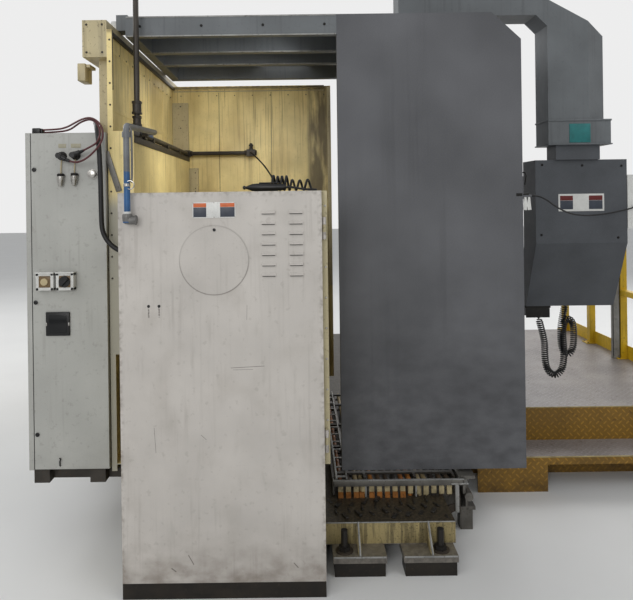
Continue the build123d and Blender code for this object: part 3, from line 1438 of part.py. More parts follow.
def air_hose():
    """The hose from the cross fitting, over the headstock's top, to the coil on the cover's top."""
    x0 = CROSS_X - 60
    rest = HEAD_TOP + HOSE_RADIUS + 1
    over = COVER_TOP + HOSE_RADIUS + 3
    route = [
        (x0 - 23, -20, PIPE_Z),
        (x0 - 68, -22, PIPE_Z),
        (x0 - 108, -50, PIPE_Z - 26),
        (x0 - 138, -96, PIPE_Z - 72),
        (x0 - 164, -142, PIPE_Z - 130),
        (x0 - 192, -180, PIPE_Z - 196),
        (x0 - 228, -204, PIPE_Z - 258),
        (x0 - 288, -218, rest + 22),
        (x0 - 370, -226, rest),
    ]
    step = (route[-1][0] - 440) / HOSE_SWAYS
    for number in range(1, HOSE_SWAYS):
        side = HOSE_SWAY if number % 2 else -HOSE_SWAY
        route.append((x0 - 370 - step * number, -222 + side, rest))
    route += [
        (450, -226, rest + 3),
        (392, -232, rest + 14),
        (345, -236, over + 2),
        (295, -238, over),
        (COIL_X + COIL_WIDE, -240, over),
    ]
    return tube("air_hose", route, HOSE_RADIUS)


def hose_coil():
    """The hose's loose coil, lying on the cover's top, as one closed shape."""
    length = COIL_SPAN[1] - COIL_SPAN[0]
    slope = math.degrees(math.asin((COIL_WIDE - COIL_NARROW) / length))
    coil = Pos(0, 0, -length / 2) * Cone(COIL_NARROW, COIL_WIDE, length)
    coil = Rot(-90 + slope, 0, 0) * coil
    low = coil.bounding_box().min.Z
    return Pos(COIL_X, COIL_SPAN[1] - 10, COVER_TOP + FACE_GAP - low) * coil


def blow_gun():
    """The blow gun at the coil's end: rounded body and tapered nozzle."""
    profile = [
        (0, 0),
        (0, GUN_RADIUS - 4),
        (8, GUN_RADIUS),
        (62, GUN_RADIUS),
        (84, GUN_RADIUS - 7),
        (100, 6),
        (112, 6),
        (112, 0),
    ]
    body = revolve(Plane.XY * make_face(Polyline(*profile, close=True)), Axis.X)
    return Pos(COIL_X - 28, COIL_SPAN[1] + 4, COVER_TOP + GUN_RADIUS + FACE_GAP) * Rot(0, 0, 90) * body


def cabinet_leads():
    """The two leads that loop from the plugs back over the cabinet's top edge."""
    short_lead = [
        (306, 640, 1828),
        (284, 570, 1856),
        (267, 548, 1870),
        (258, 534, 1892),
        (255, 531, 1917),
        (256, 539, 1942),
        (262, 556, 1961),
        (272, 580, 1971),
        (286, 606, 1969),
        (312, 640, 1962),
        (345, 676, 1948),
        (378, 712, 1937),
        (400, 765, 1931),
        (404, 850, 1929),
    ]
    long_lead = [
        (306, 704, 1796),
        (296, 665, 1780),
        (280, 625, 1785),
        (270, 590, 1803),
        (258, 559, 1827),
        (247, 534, 1851),
        (240, 517, 1878),
        (238, 513, 1909),
        (240, 522, 1940),
        (246, 545, 1964),
        (256, 575, 1977),
        (272, 608, 1975),
        (300, 642, 1969),
        (332, 682, 1957),
        (366, 722, 1947),
        (392, 775, 1941),
        (392, 850, 1940),
    ]
    leads = [("short lead", short_lead), ("long lead", long_lead)]
    return Compound(children=[tube(name, route, LEAD_RADIUS) for name, route in leads])


def black_hose():
    """The thick hose over the cabinet's edge, down behind the cover and into its housing."""
    route = [
        (860, 652, 1934),
        (760, 648, 1934),
        (670, 640, 1935),
        (595, 633, 1942),
        (525, 624, 1955),
        (460, 614, 1969),
        (397, 596, 1973),
        (356, 580, 1961),
        (323, 567, 1936),
        (301, 556, 1902),
        (290, 549, 1862),
        (290, 546, 1808),
        (292, 544, 1730),
        (293, 543, 1640),
        (292, 542, 1550),
        (290, 539.5, 1481.5),
        (290, 525, 1442),
        (290, 499.5, 1408.5),
        (290, 465, 1384.5),
        (290, 425, 1372),
        (290, 385, 1372),
    ]
    return tube("black_hose", route, BLACK_HOSE_RADIUS)


def build_nodes():
    """Every node's name with its shape."""
    nodes = {
        "bed": bed(),
        "levelling_feet": levelling_feet(),
        "plinth": plinth(),
        "cover_housing": cover_housing(),
        "end_cover": end_cover(),
        "round_cover_plate": round_cover_plate(),
        "headstock_case": headstock_case(),
        "spindle_bearings": spindle_bearings(),
        "drive_motor": drive_motor(),
        "motor_pulley": motor_pulley(),
        "drive_belt": drive_belt(),
        "spindle": spindle(),
        "chuck_body": chuck_body(),
    }
    for number in range(JAW_COUNT):
        nodes[f"chuck_jaw_{number + 1}"] = chuck_jaw(number)
    nodes.update(
        {
            "ball_screw": ball_screw(),
            "carriage": carriage(),
            "cross_slide": cross_slide(),
            "turret_head": turret_head(),
            "tailstock": tailstock(),
            "quill": quill(),
            "live_centre": live_centre(),
            "rear_guard": rear_guard(),
            "cross_guard": cross_guard(),
            "corner_covers": corner_covers(),
            "rear_rail": rear_rail(),
            "front_rail": front_rail(),
            "cable_carrier": cable_carrier(),
            "carrier_cables": carrier_cables(),
            "cable_clamps": cable_clamps(),
            "cabinet_body": cabinet_body(),
            "cabinet_base": cabinet_base(),
            "cabinet_end_panel": cabinet_end_panel(),
            "cabinet_fittings": cabinet_fittings(),
            "main_switch": main_switch(),
            "start_button": start_button(),
            "hood_end_panel": hood_end_panel(),
            "hood_frame": hood_frame(),
            "hood_front": hood_front(),
            "hood_door": hood_door(),
            "hood_window": hood_window(),
            "boom": boom(),
            "pendant_case": pendant_case(),
            "pendant_face": pendant_face(),
            "e_stop": e_stop(),
            "side_box": side_box(),
            "handset": handset(),
            "curly_cord": curly_cord(),
            "pendant_cord": pendant_cord(),
            "platform": platform(),
            "railing": railing(),
            "air_pipe": air_pipe(),
            "leg_pipe": leg_pipe(),
            "valve_handle": valve_handle(),
            "air_hose": air_hose(),
            "hose_coil": hose_coil(),
            "blow_gun": blow_gun(),
            "cabinet_leads": cabinet_leads(),
            "black_hose": black_hose(),
        }
    )
    return nodes


def middle_of(shapes):
    """The middle of the whole machine in X and Y."""
    boxes = [shape.bounding_box() for shape in shapes]
    x = (min(box.min.X for box in boxes) + max(box.max.X for box in boxes)) / 2
    y = (min(box.min.Y for box in boxes) + max(box.max.Y for box in boxes)) / 2
    return (x, y)


def main():
    """Build every node, move it to the machine's own frame and write it."""
    os.makedirs("parts", exist_ok=True)
    nodes = build_nodes()
    middle = middle_of(nodes.values())
    for name, shape in nodes.items():
        export_step(Pos(-middle[0], -middle[1], 0) * shape, f"parts/{name}.step")
    print("machine middle", [round(value, 3) for value in middle], "nodes", len(nodes))


if __name__ == "__main__":
    main()
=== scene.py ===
"""Flat bed lathe: finishes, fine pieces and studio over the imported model.

Lengths are millimetres: X from the end cover's face along the spindle, Y from the spindle's axis
to the rear, Z from the floor. They become metres about the machine's middle when a mesh is made.
"""

import logging
import math
from dataclasses import dataclass, field
from enum import Enum
from typing import Any, Sequence

import bmesh
import bpy
from mathutils import Matrix, Vector


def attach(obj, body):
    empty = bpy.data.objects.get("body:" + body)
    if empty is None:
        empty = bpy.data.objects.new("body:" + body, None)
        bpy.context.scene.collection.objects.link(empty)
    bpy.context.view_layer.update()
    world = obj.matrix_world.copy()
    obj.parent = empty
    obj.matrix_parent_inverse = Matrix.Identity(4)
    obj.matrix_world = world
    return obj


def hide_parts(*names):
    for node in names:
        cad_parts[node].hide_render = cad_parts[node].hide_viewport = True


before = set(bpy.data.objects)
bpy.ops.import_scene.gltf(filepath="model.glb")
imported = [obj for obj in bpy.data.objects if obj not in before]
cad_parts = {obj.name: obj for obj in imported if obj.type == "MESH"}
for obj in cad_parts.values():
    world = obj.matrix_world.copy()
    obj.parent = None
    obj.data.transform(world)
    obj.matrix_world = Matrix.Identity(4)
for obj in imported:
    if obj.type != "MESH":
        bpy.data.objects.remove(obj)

LOG = logging.getLogger("lathe")
MIDDLE_X = 2096.5
MIDDLE_Y = -946.0
AXIS_HEIGHT = 1362.0
KEY_HOLES = (266, 224)
KEY_HEIGHT = 1180.0
CABLE_PITCH = 37.0
CABLE_EDGE = -1062.0
SHARP = math.radians(36)
FORWARD = (-1, 0, 0)
RIGHT = (0, -1, 0)
UP = (0, 0, 1)

Point = tuple[float, float, float]
Span = tuple[float, float]
Colour = tuple[float, float, float]
Socket = bpy.types.NodeSocket


def metres(point: Sequence[float]) -> Vector:
    """A machine point in millimetres as a point of the row frame in metres."""
    return Vector(((point[0] - MIDDLE_X) / 1000, (point[1] - MIDDLE_Y) / 1000, point[2] / 1000))


def around(middle: float, size: float) -> Span:
    """A span of the given size about a middle."""
    return (middle - size / 2, middle + size / 2)


def row(start: Point, step: Point, count: int) -> list[Point]:
    """The given number of places at equal steps, from the first on."""
    return [tuple(part + number * way for part, way in zip(start, step)) for number in range(count)]


def linear(colour: Colour, gain: float = 1) -> tuple[float, float, float, float]:
    """A colour as the eye reads it, as the linear colour with alpha that a shader takes, times a gain."""
    parts = [part / 12.92 if part <= 0.04045 else ((part + 0.055) / 1.055) ** 2.4 for part in colour]
    return (*(min(1, part * gain) for part in parts), 1)


class Value:
    """A socket that carries a number, on which Python's operators build Math nodes."""

    def __init__(self, tree: "NodeTree", socket: Socket) -> None:
        """Keeps the tree and the socket."""
        self.tree = tree
        self.socket = socket

    def __add__(self, other: "Value | float") -> "Value":
        """The sum."""
        return self.tree.maths("ADD", self, other)

    __radd__ = __add__

    def __sub__(self, other: "Value | float") -> "Value":
        """The difference."""
        return self.tree.maths("SUBTRACT", self, other)

    def __rsub__(self, other: "Value | float") -> "Value":
        """The difference, taken from a number."""
        return self.tree.maths("SUBTRACT", other, self)

    def __mul__(self, other: "Value | float") -> "Value":
        """The product."""
        return self.tree.maths("MULTIPLY", self, other)

    __rmul__ = __mul__

    def __truediv__(self, other: "Value | float") -> "Value":
        """The quotient."""
        return self.tree.maths("DIVIDE", self, other)

    def __pow__(self, other: "Value | float") -> "Value":
        """The power."""
        return self.tree.maths("POWER", self, other)

    def __abs__(self) -> "Value":
        """The size without its sign."""
        return self.tree.maths("ABSOLUTE", self)

    def fraction(self) -> "Value":
        """What is left above the next whole number below."""
        return self.tree.maths("FRACT", self)

    def whole(self) -> "Value":
        """The next whole number below."""
        return self.tree.maths("FLOOR", self)

    def most(self, other: "Value | float") -> "Value":
        """The larger of the two."""
        return self.tree.maths("MAXIMUM", self, other)

    def clamped(self) -> "Value":
        """The value held between 0 and 1."""
        return self.tree.maths("ADD", self, 0, clamp=True)

    def rise(self, low: float, high: float) -> "Value":
        """A smooth step.

        Args:
            low: Where the step is still 0.
            high: Where it has reached 1.

        Returns:
            The step's height.
        """
        settings = {"interpolation_type": "SMOOTHSTEP", "clamp": True}
        node = self.tree.node("ShaderNodeMapRange", settings, {0: self, 1: low, 2: high, 3: 0, 4: 1})
        return Value(self.tree, node.outputs[0])

    def within(self, span: Span, soft: float) -> "Value":
        """1 inside a span and 0 outside it, with a soft edge of the given width on each side."""
        low, high = span
        return self.rise(low - soft, low + soft) * (1 - self.rise(high - soft, high + soft))


class NodeTree:
    """The nodes of a material or world, all made by one method."""

    def __init__(self, tree: bpy.types.NodeTree) -> None:
        """Keeps the tree's nodes and links."""
        self.nodes = tree.nodes
        self.links = tree.links

    def node(
        self, kind: str, settings: dict[str, Any] | None = None, inputs: dict[Any, Any] | None = None
    ) -> bpy.types.Node:
        """Any node of the tree.

        Args:
            kind: The node's type.
            settings: Its settings, with "stops" for the stops of a ramp.
            inputs: Values or links of its sockets, by name or number.

        Returns:
            The node.
        """
        node = self.nodes.new(kind)
        for name, value in (settings or {}).items():
            if name == "stops":
                self.set_stops(node.color_ramp, value)
            else:
                setattr(node, name, value)
        for name, value in (inputs or {}).items():
            self.feed(node.inputs[name], value)
        return node

    def set_stops(self, ramp: bpy.types.ColorRamp, stops: Sequence[tuple[float, Any]]) -> None:
        """Gives a ramp its stops.

        Args:
            ramp: The ramp.
            stops: Position and linear colour of each stop.
        """
        while len(ramp.elements) < len(stops):
            ramp.elements.new(0.5)
        for element, (position, colour) in zip(ramp.elements, stops):
            element.position = position
            element.color = colour

    def feed(self, socket: Socket, value: Any) -> None:
        """Links a value or a socket to a socket, or sets the number or colour on it.

        Args:
            socket: The socket that is fed.
            value: What it takes.
        """
        if isinstance(value, Value):
            value = value.socket
        if isinstance(value, Socket):
            self.links.new(value, socket)
        else:
            socket.default_value = value

    def maths(self, operation: str, *operands: "Value | float", clamp: bool = False) -> Value:
        """The result of a Math node on operands in order, held between 0 and 1 where clamp is set."""
        settings = {"operation": operation, "use_clamp": clamp}
        return Value(self, self.node("ShaderNodeMath", settings, dict(enumerate(operands))).outputs[0])

    def parts(self, vector: Socket) -> list[Value]:
        """The three numbers of a vector."""
        return [Value(self, out) for out in self.node("ShaderNodeSeparateXYZ", {}, {0: vector}).outputs]


class ShaderTree(NodeTree):
    """The nodes of one material, with the machine's millimetres as its coordinates."""

    def __init__(self, name: str) -> None:
        """Makes the material and its coordinate nodes.

        Args:
            name: The material's name.
        """
        self.material = bpy.data.materials.new(name)
        self.material.use_nodes = True
        super().__init__(self.material.node_tree)
        self.shader = self.nodes["Principled BSDF"]
        place = self.node("ShaderNodeTexCoord")
        scale = {0: place.outputs["Object"], 1: (1000, 1000, 1000), 2: (MIDDLE_X, MIDDLE_Y, 0)}
        self.place = self.node("ShaderNodeVectorMath", {"operation": "MULTIPLY_ADD"}, scale).outputs[0]
        self.x, self.y, self.z = self.parts(self.place)
        self.facing = [abs(part) for part in self.parts(place.outputs["Normal"])]

    def noise(self, size: float, detail: float = 2, stretch: Point = (1, 1, 1), seed: float = 0) -> Value:
        """Soft noise.

        Args:
            size: Width of its patches in millimetres.
            detail: How much finer detail it has.
            stretch: How much longer the patches are along each axis.
            seed: Shift that makes one noise differ from another.

        Returns:
            The noise from 0 to 1.
        """
        scale = tuple(1 / (size * part) for part in stretch)
        settings = {"operation": "MULTIPLY_ADD"}
        place = self.node("ShaderNodeVectorMath", settings, {0: self.place, 1: scale, 2: (seed, seed, seed)})
        inputs = {"Vector": place.outputs[0], "Scale": 1, "Detail": detail}
        return Value(self, self.node("ShaderNodeTexNoise", {}, inputs).outputs[0])

    def mix(self, first: Any, second: Any, factor: "Value | float") -> Socket:
        """A colour between two, with the factor as the share of the second."""
        return self.node("ShaderNodeMix", {"data_type": "RGBA"}, {0: factor, 6: first, 7: second}).outputs[2]

    def patch(self, y: Span, z: Span, soft: float) -> Value:
        """A soft rectangle seen along X, by its spans along Y and Z and the width of its edge."""
        return self.y.within(y, soft) * self.z.within(z, soft)

    def stroke(self, start: Span, end: Span, width: float) -> Value:
        """A thin line seen along X.

        Args:
            start: Its first end as (y, z).
            end: Its other end as (y, z).
            width: Half its width.

        Returns:
            The mask.
        """
        run = (end[0] - start[0], end[1] - start[1])
        square = run[0] ** 2 + run[1] ** 2
        along = ((self.y - start[0]) * (run[0] / square) + (self.z - start[1]) * (run[1] / square)).clamped()
        aside = self.y - start[0] - along * run[0]
        above = self.z - start[1] - along * run[1]
        return 1 - (aside * aside + above * above).rise(width**2 * 0.3, width**2)

    def ring(self, y: float, z: float, radius: float, width: float) -> Value:
        """A thin ring seen along X.

        Args:
            y: Its middle along Y.
            z: Its middle along Z.
            radius: Its radius.
            width: Half its width.

        Returns:
            The mask.
        """
        aside = self.y - y
        above = self.z - z
        away = (aside * aside + above * above) ** 0.5
        return away.within((radius - width, radius + width), width * 0.5)


@dataclass(frozen=True)
class Finish:
    """A painted, cast or moulded surface whose colour wanders, with grain, dirt and relief; its darkening towards the
    bottom is floor grime on most finishes and painted shade on the hood.
    """

    name: str
    slot: str
    colour: Colour
    roughness: float = 0.5
    metallic: float = 0.0
    wander: float = 0.08
    patch_size: float = 240.0
    grain: float = 0.04
    grain_size: float = 3.0
    soil_and_shade: Colour = (0.21, 0.16, 0.11)
    streaks: float = 0.0
    streak_width: float = 16.0
    spots: float = 0.0
    spot_size: float = 14.0
    # Strength and top of a darkening towards the bottom: floor grime, and painted shade on the hood.
    grime_and_shade: float = 0.0
    grime_and_shade_top: float = 320.0
    bump: float = 0.12
    bump_size: float = 2.2
    shine: float = 0.35

    @property
    def label(self) -> str:
        """The material's name, which no slot has."""
        return f"{self.name}_finish"

    def material(self) -> bpy.types.Material:
        """The finish as a new material.

        Returns:
            The material.
        """
        tree = ShaderTree(self.label)
        colour = self.marks(tree, self.dirt_and_shade(tree, self.ground(tree)))
        tree.feed(tree.shader.inputs["Base Color"], colour)
        tree.feed(tree.shader.inputs["Roughness"], self.gloss(tree))
        tree.shader.inputs["Metallic"].default_value = self.metallic
        tree.shader.inputs["Specular IOR Level"].default_value = self.shine
        bump = {"Strength": self.bump, "Distance": 0.001, "Height": self.relief(tree)}
        tree.feed(tree.shader.inputs["Normal"], tree.node("ShaderNodeBump", {}, bump).outputs[0])
        return tree.material

    def shade(self, tree: ShaderTree, colour: Colour) -> Socket:
        """A colour that wanders over the surface.

        Args:
            tree: The material's nodes.
            colour: The colour in the middle of its range.

        Returns:
            The colour's socket.
        """
        broad = tree.noise(self.patch_size, 3)
        fine = tree.noise(self.grain_size, 1, seed=7.0)
        share = self.wander + self.grain
        factor = (broad - 0.5) * (2.4 * self.wander / share) + (fine - 0.5) * (2.0 * self.grain / share) + 0.5
        return tree.mix(linear(colour, 1 - 2 * share), linear(colour, 1 + 1.6 * share), factor.clamped())

    def ground(self, tree: ShaderTree) -> Socket:
        """The clean surface's colour."""
        return self.shade(tree, self.colour)

    def dirt_and_shade(self, tree: ShaderTree, colour: Socket) -> Socket:
        """Streaks, spots and a darkening towards the bottom over the clean colour: floor grime on most finishes,
        painted shade on the hood.

        Args:
            tree: The material's nodes.
            colour: The colour so far.

        Returns:
            The soiled colour, with painted shade low down on the hood.
        """
        soil_and_shade = linear(self.soil_and_shade)
        if self.streaks:
            run = tree.noise(self.streak_width, 3, (1, 1, 26), 3).rise(0.5, 0.74)
            where = tree.noise(self.streak_width * 14, 2, (1, 1, 1.6), 11).rise(0.36, 0.66)
            colour = tree.mix(colour, soil_and_shade, run * where * self.streaks)
        if self.spots:
            specks = tree.noise(self.spot_size, 4, seed=19.0).rise(0.6, 0.7)
            colour = tree.mix(colour, soil_and_shade, specks * self.spots)
        # Darkening towards the bottom: floor grime on most finishes; on the hood, painted shade in a neutral grey up
        # to 2.1 m.
        if self.grime_and_shade:
            low = 1 - tree.z.rise(0, self.grime_and_shade_top)
            cloud = tree.noise(90, 4, (1, 1, 0.6), 5).rise(0.25, 0.8)
            colour = tree.mix(colour, soil_and_shade, low * low * (cloud * 0.8 + 0.2) * self.grime_and_shade)
        return colour

    def marks(self, tree: ShaderTree, colour: Socket) -> Socket:
        """Marks of one finish only; a plain one has none."""
        return colour

    def gloss(self, tree: ShaderTree) -> Value:
        """The roughness, which wanders a little."""
        return tree.noise(self.patch_size / 5, 3, seed=23.0) * 0.16 + (self.roughness - 0.08)

    def relief(self, tree: ShaderTree) -> Value:
        """The height of the fine surface."""
        return tree.noise(self.bump_size, 2, seed=31.0)


@dataclass(frozen=True)
class CoverPaint(Finish):
    """The white end cover: worn, scratched, marked under its key holes and grubby at the foot."""

    scratches: tuple[tuple[Span, Span, float], ...] = (
        ((-62, 928), (-196, 934), 1.5),
        ((-70, 920), (-150, 921), 1),
        ((118, 176), (98, 140), 2.5),
        ((186, 124), (170, 112), 3),
        ((-306, 140), (-322, 122), 2.5),
        ((250, 690), (244, 590), 1.2),
        ((-130, 1180), (-128, 1120), 1),
        ((40, 640), (62, 660), 1.2),
    )
    dark: Colour = (0.22, 0.19, 0.17)
    clouded: Colour = (0.56, 0.53, 0.49)
    smeared: Colour = (0.48, 0.45, 0.41)
    worn: Colour = (0.40, 0.36, 0.31)
    middle: float = -25.0
    half_width: float = 385.0
    top: float = 1608.0
    drip: float = 46.0
    plate_radius: float = 139.5

    def marks(self, tree: ShaderTree, colour: Socket) -> Socket:
        """Scratches, drips under the key holes, the plate's shadow line and worn edges.

        Args:
            tree: The material's nodes.
            colour: The colour so far.

        Returns:
            The marked colour.
        """
        dark = linear(self.dark)
        cloud = tree.noise(150, 5, seed=41.0).rise(0.46, 0.78)
        colour = tree.mix(colour, linear(self.clouded), cloud * 0.24)
        smear = tree.noise(34, 4, (1, 1, 5), 43).rise(0.56, 0.8)
        colour = tree.mix(colour, linear(self.smeared), smear * 0.18)
        side = (abs(tree.y - self.middle) - self.half_width).rise(0, 26)
        edge = side.most((tree.z - self.top).rise(0, 30))
        wear = tree.noise(22, 4, seed=47.0).rise(0.42, 0.7)
        colour = tree.mix(colour, linear(self.worn), edge * wear * 0.5)
        for start, end, width in self.scratches:
            colour = tree.mix(colour, dark, tree.stroke(start, end, width) * 0.62)
        for y in KEY_HOLES:
            drip = tree.patch(around(y, 5), (KEY_HEIGHT - self.drip, KEY_HEIGHT + 2), 2.5)
            colour = tree.mix(colour, dark, drip * tree.noise(9, 2, seed=y).rise(0.3, 0.6) * 0.85)
        fade = 1 - tree.z.rise(AXIS_HEIGHT - 62, AXIS_HEIGHT + 38) * 0.55
        rim = tree.ring(0, AXIS_HEIGHT, self.plate_radius, 2.4) * fade
        return tree.mix(colour, dark, rim * 0.4)


@dataclass(frozen=True)
class GuardPaint(Finish):
    """Oily cream guards: brown runs from the top edge and seams, darker towards one side, with painted shade in a
    lower corner and on the front edge's grey foot.
    """

    dark_side: Span = (-560, -420)
    top: float = 2390.0
    foot: Span = (1560, 1690)
    brown: Colour = (0.40, 0.29, 0.13)
    stained: Colour = (0.68, 0.57, 0.33)
    sooty: Colour = (0.23, 0.18, 0.10)
    lip_soil: Colour = (0.30, 0.24, 0.15)
    corner_shade_tone: Colour = (0.42, 0.36, 0.25)
    greyed_and_shaded: Colour = (0.58, 0.575, 0.54)

    def marks(self, tree: ShaderTree, colour: Socket) -> Socket:
        """Broad stains, fine drips, the dark strip beside the hood, painted shade in the lower corner by the cross
        guard, and the foot's edge, greyed and darkened as painted shade.

        Args:
            tree: The material's nodes.
            colour: The colour so far.

        Returns:
            The marked colour.
        """
        thin = tree.noise(7, 2, (1, 1, 60), 53).rise(0.56, 0.7)
        colour = tree.mix(colour, linear(self.brown), thin * (tree.z.rise(1500, self.top) * 0.5 + 0.1))
        cloud = tree.noise(210, 5, (1, 1, 2), 59).rise(0.45, 0.75)
        colour = tree.mix(colour, linear(self.stained), cloud * 0.45)
        strip = tree.y.within(self.dark_side, 24) * tree.noise(60, 4, (1, 1, 4), 61).rise(0.2, 0.55)
        colour = tree.mix(colour, linear(self.sooty), strip * 0.8)
        lip = (tree.z - (self.top - 18)).rise(0, 20) * tree.noise(30, 3, seed=67.0).rise(0.35, 0.65)
        colour = tree.mix(colour, linear(self.lip_soil), lip * 0.6)
        # Painted shade: the guard's own colour darkened in the lower corner where the rear and cross guards meet,
        # broken up by the stain clouds.
        corner_shade = tree.y.rise(150, 420) * (1 - tree.z.rise(1700, 1860)) * cloud.most(0.35)
        colour = tree.mix(colour, linear(self.corner_shade_tone), corner_shade * tree.x.rise(1500, 1850) * 0.6)
        # The front edge's foot turns grey like the panel beside it, and darker than that panel: partly its own grey
        # colour, partly painted shade.
        grey_panel_and_shade = (1 - tree.z.rise(*self.foot)) * (1 - tree.x.rise(480, 560)) * tree.facing[0]
        return tree.mix(colour, linear(self.greyed_and_shaded), grey_panel_and_shade * 0.92)


@dataclass(frozen=True)
class BedPaint(Finish):
    """The cream bed with dark oil that has run down its end and speckled its right part."""

    oil: Colour = (0.13, 0.11, 0.08)
    soot: Colour = (0.27, 0.235, 0.18)
    bare: tuple[Colour, Colour] = ((0.33, 0.315, 0.295), (0.44, 0.42, 0.39))
    ledge: Span = (176, 186)
    pad_top: Span = (84, 91)

    def marks(self, tree: ShaderTree, colour: Socket) -> Socket:
        """Oil runs and dark speckles on the bed's end, a soaked top ledge and bare foot pads.

        Args:
            tree: The material's nodes.
            colour: The colour so far.

        Returns:
            The marked colour.
        """
        oil = linear(self.oil)
        run = tree.noise(15, 3, (1, 1, 12), 71).rise(0.47, 0.62)
        colour = tree.mix(colour, oil, run * (0.5 - tree.x.rise(240, 900) * 0.34))
        specks = tree.noise(8, 5, seed=73.0).rise(0.54, 0.66) * (1 - tree.y.rise(-900, -640) * 0.72)
        colour = tree.mix(colour, oil, specks * 0.6)
        soaked = tree.z.within(self.ledge, 4) * tree.facing[2]
        crust = tree.noise(13, 5, seed=75).rise(0.4, 0.7)
        colour = tree.mix(colour, tree.mix(oil, linear(self.soot), crust), soaked * 0.97)
        darker, paler = self.bare
        bare = tree.mix(linear(darker), linear(paler), tree.noise(24, 4).rise(0.3, 0.7))
        return tree.mix(colour, bare, 1 - tree.z.rise(*self.pad_top))


@dataclass(frozen=True)
class PipePaint(Finish):
    """The leg pipe: blue paint below, bare grey above the join."""

    upper: Colour = (0.40, 0.41, 0.42)
    join: float = 1730.0

    def ground(self, tree: ShaderTree) -> Socket:
        """Blue under the join and grey over it.

        Args:
            tree: The material's nodes.

        Returns:
            The colour's socket.
        """
        ragged = tree.z + tree.noise(18, 3, seed=79.0) * 26.0
        lower = self.shade(tree, self.colour)
        return tree.mix(lower, self.shade(tree, self.upper), ragged.rise(self.join, self.join + 8))


@dataclass(frozen=True)
class CablePaint(Finish):
    """Cables side by side, each in a colour of its own."""

    tones: tuple[Colour, ...] = (
        (0.24, 0.20, 0.16),
        (0.52, 0.46, 0.34),
        (0.55, 0.34, 0.16),
        (0.30, 0.24, 0.18),
        (0.60, 0.54, 0.42),
        (0.17, 0.15, 0.14),
        (0.62, 0.40, 0.18),
    )

    def ground(self, tree: ShaderTree) -> Socket:
        """The cables' tones, picked by their place.

        Args:
            tree: The material's nodes.

        Returns:
            The colour's socket.
        """
        place = ((tree.y - CABLE_EDGE) / CABLE_PITCH).whole()
        pick = (place * 0.381 + 0.07).fraction()
        stops = [(number / len(self.tones), linear(tone)) for number, tone in enumerate(self.tones)]
        ramp = tree.node("ShaderNodeValToRGB", {"stops": stops}, {0: pick})
        ramp.color_ramp.interpolation = "CONSTANT"
        return tree.mix(ramp.outputs[0], linear(self.soil_and_shade), tree.noise(26, 4).rise(0.4, 0.75) * 0.6)


@dataclass(frozen=True)
class TreadPaint(Finish):
    """Tread plate with crossed bars: ochre paint on upright faces, darkened between the bars as painted shade,
    scuffed grey where it is walked on.
    """

    deck: Colour = (0.53, 0.505, 0.495)
    hollow_shade: Colour = (0.30, 0.22, 0.08)
    bright: Colour = (0.62, 0.60, 0.60)
    pitch: float = 31.0
    bar_long: float = 0.46
    bar_wide: float = 0.15

    def bars(self, tree: ShaderTree) -> Value:
        """The raised bars, one way and the other in turn.

        Args:
            tree: The material's nodes.

        Returns:
            1 on a bar and 0 between bars.
        """
        side, level = tree.facing[1], tree.facing[2]
        across = tree.y * (1 - side) + tree.x * side
        along = tree.z * (1 - level) + tree.x * level
        step = self.pitch * math.sqrt(2)
        first = (across + along) / step
        second = (across - along) / step
        odd = ((first.whole() + second.whole()) * 0.5).fraction() * 2
        one = first.fraction() - 0.5
        other = second.fraction() - 0.5
        long_part = one * (1 - odd) + other * odd
        wide_part = other * (1 - odd) + one * odd
        away = long_part * long_part / self.bar_long**2 + wide_part * wide_part / self.bar_wide**2
        return 1 - away.rise(0.6, 1)

    def ground(self, tree: ShaderTree) -> Socket:
        """Ochre risers darkened between the bars as painted shade, and a grey deck, lighter on the bars.

        Args:
            tree: The material's nodes.

        Returns:
            The colour's socket.
        """
        riser = self.shade(tree, self.colour)
        deck = self.shade(tree, self.deck)
        bars = self.bars(tree)
        # Between the bars the riser is darkened as painted shade; the bars keep the riser's colour.
        riser = tree.mix(tree.mix(riser, linear(self.hollow_shade), 0.55), riser, bars * 0.9 + 0.1)
        deck = tree.mix(deck, linear(self.bright), bars * 0.5)
        return tree.mix(riser, deck, tree.facing[2].rise(0.6, 0.8))

    def relief(self, tree: ShaderTree) -> Value:
        """The bars' height."""
        return self.bars(tree) * 1.6 + tree.noise(self.bump_size, 2, seed=31.0) * 0.2


@dataclass(frozen=True)
class Glass(Finish):
    """Smoked safety glass with a little dust."""

    def material(self) -> bpy.types.Material:
        """The finish as a new material.

        Returns:
            The material.
        """
        tree = ShaderTree(self.label)
        tree.feed(tree.shader.inputs["Base Color"], self.shade(tree, self.colour))
        dust = tree.noise(70, 4, seed=83.0).rise(0.4, 0.8)
        tree.feed(tree.shader.inputs["Roughness"], dust * 0.18 + self.roughness)
        tree.feed(tree.shader.inputs["Alpha"], dust * 0.12 + 0.5)
        return tree.material


OIL = (0.17, 0.13, 0.09)


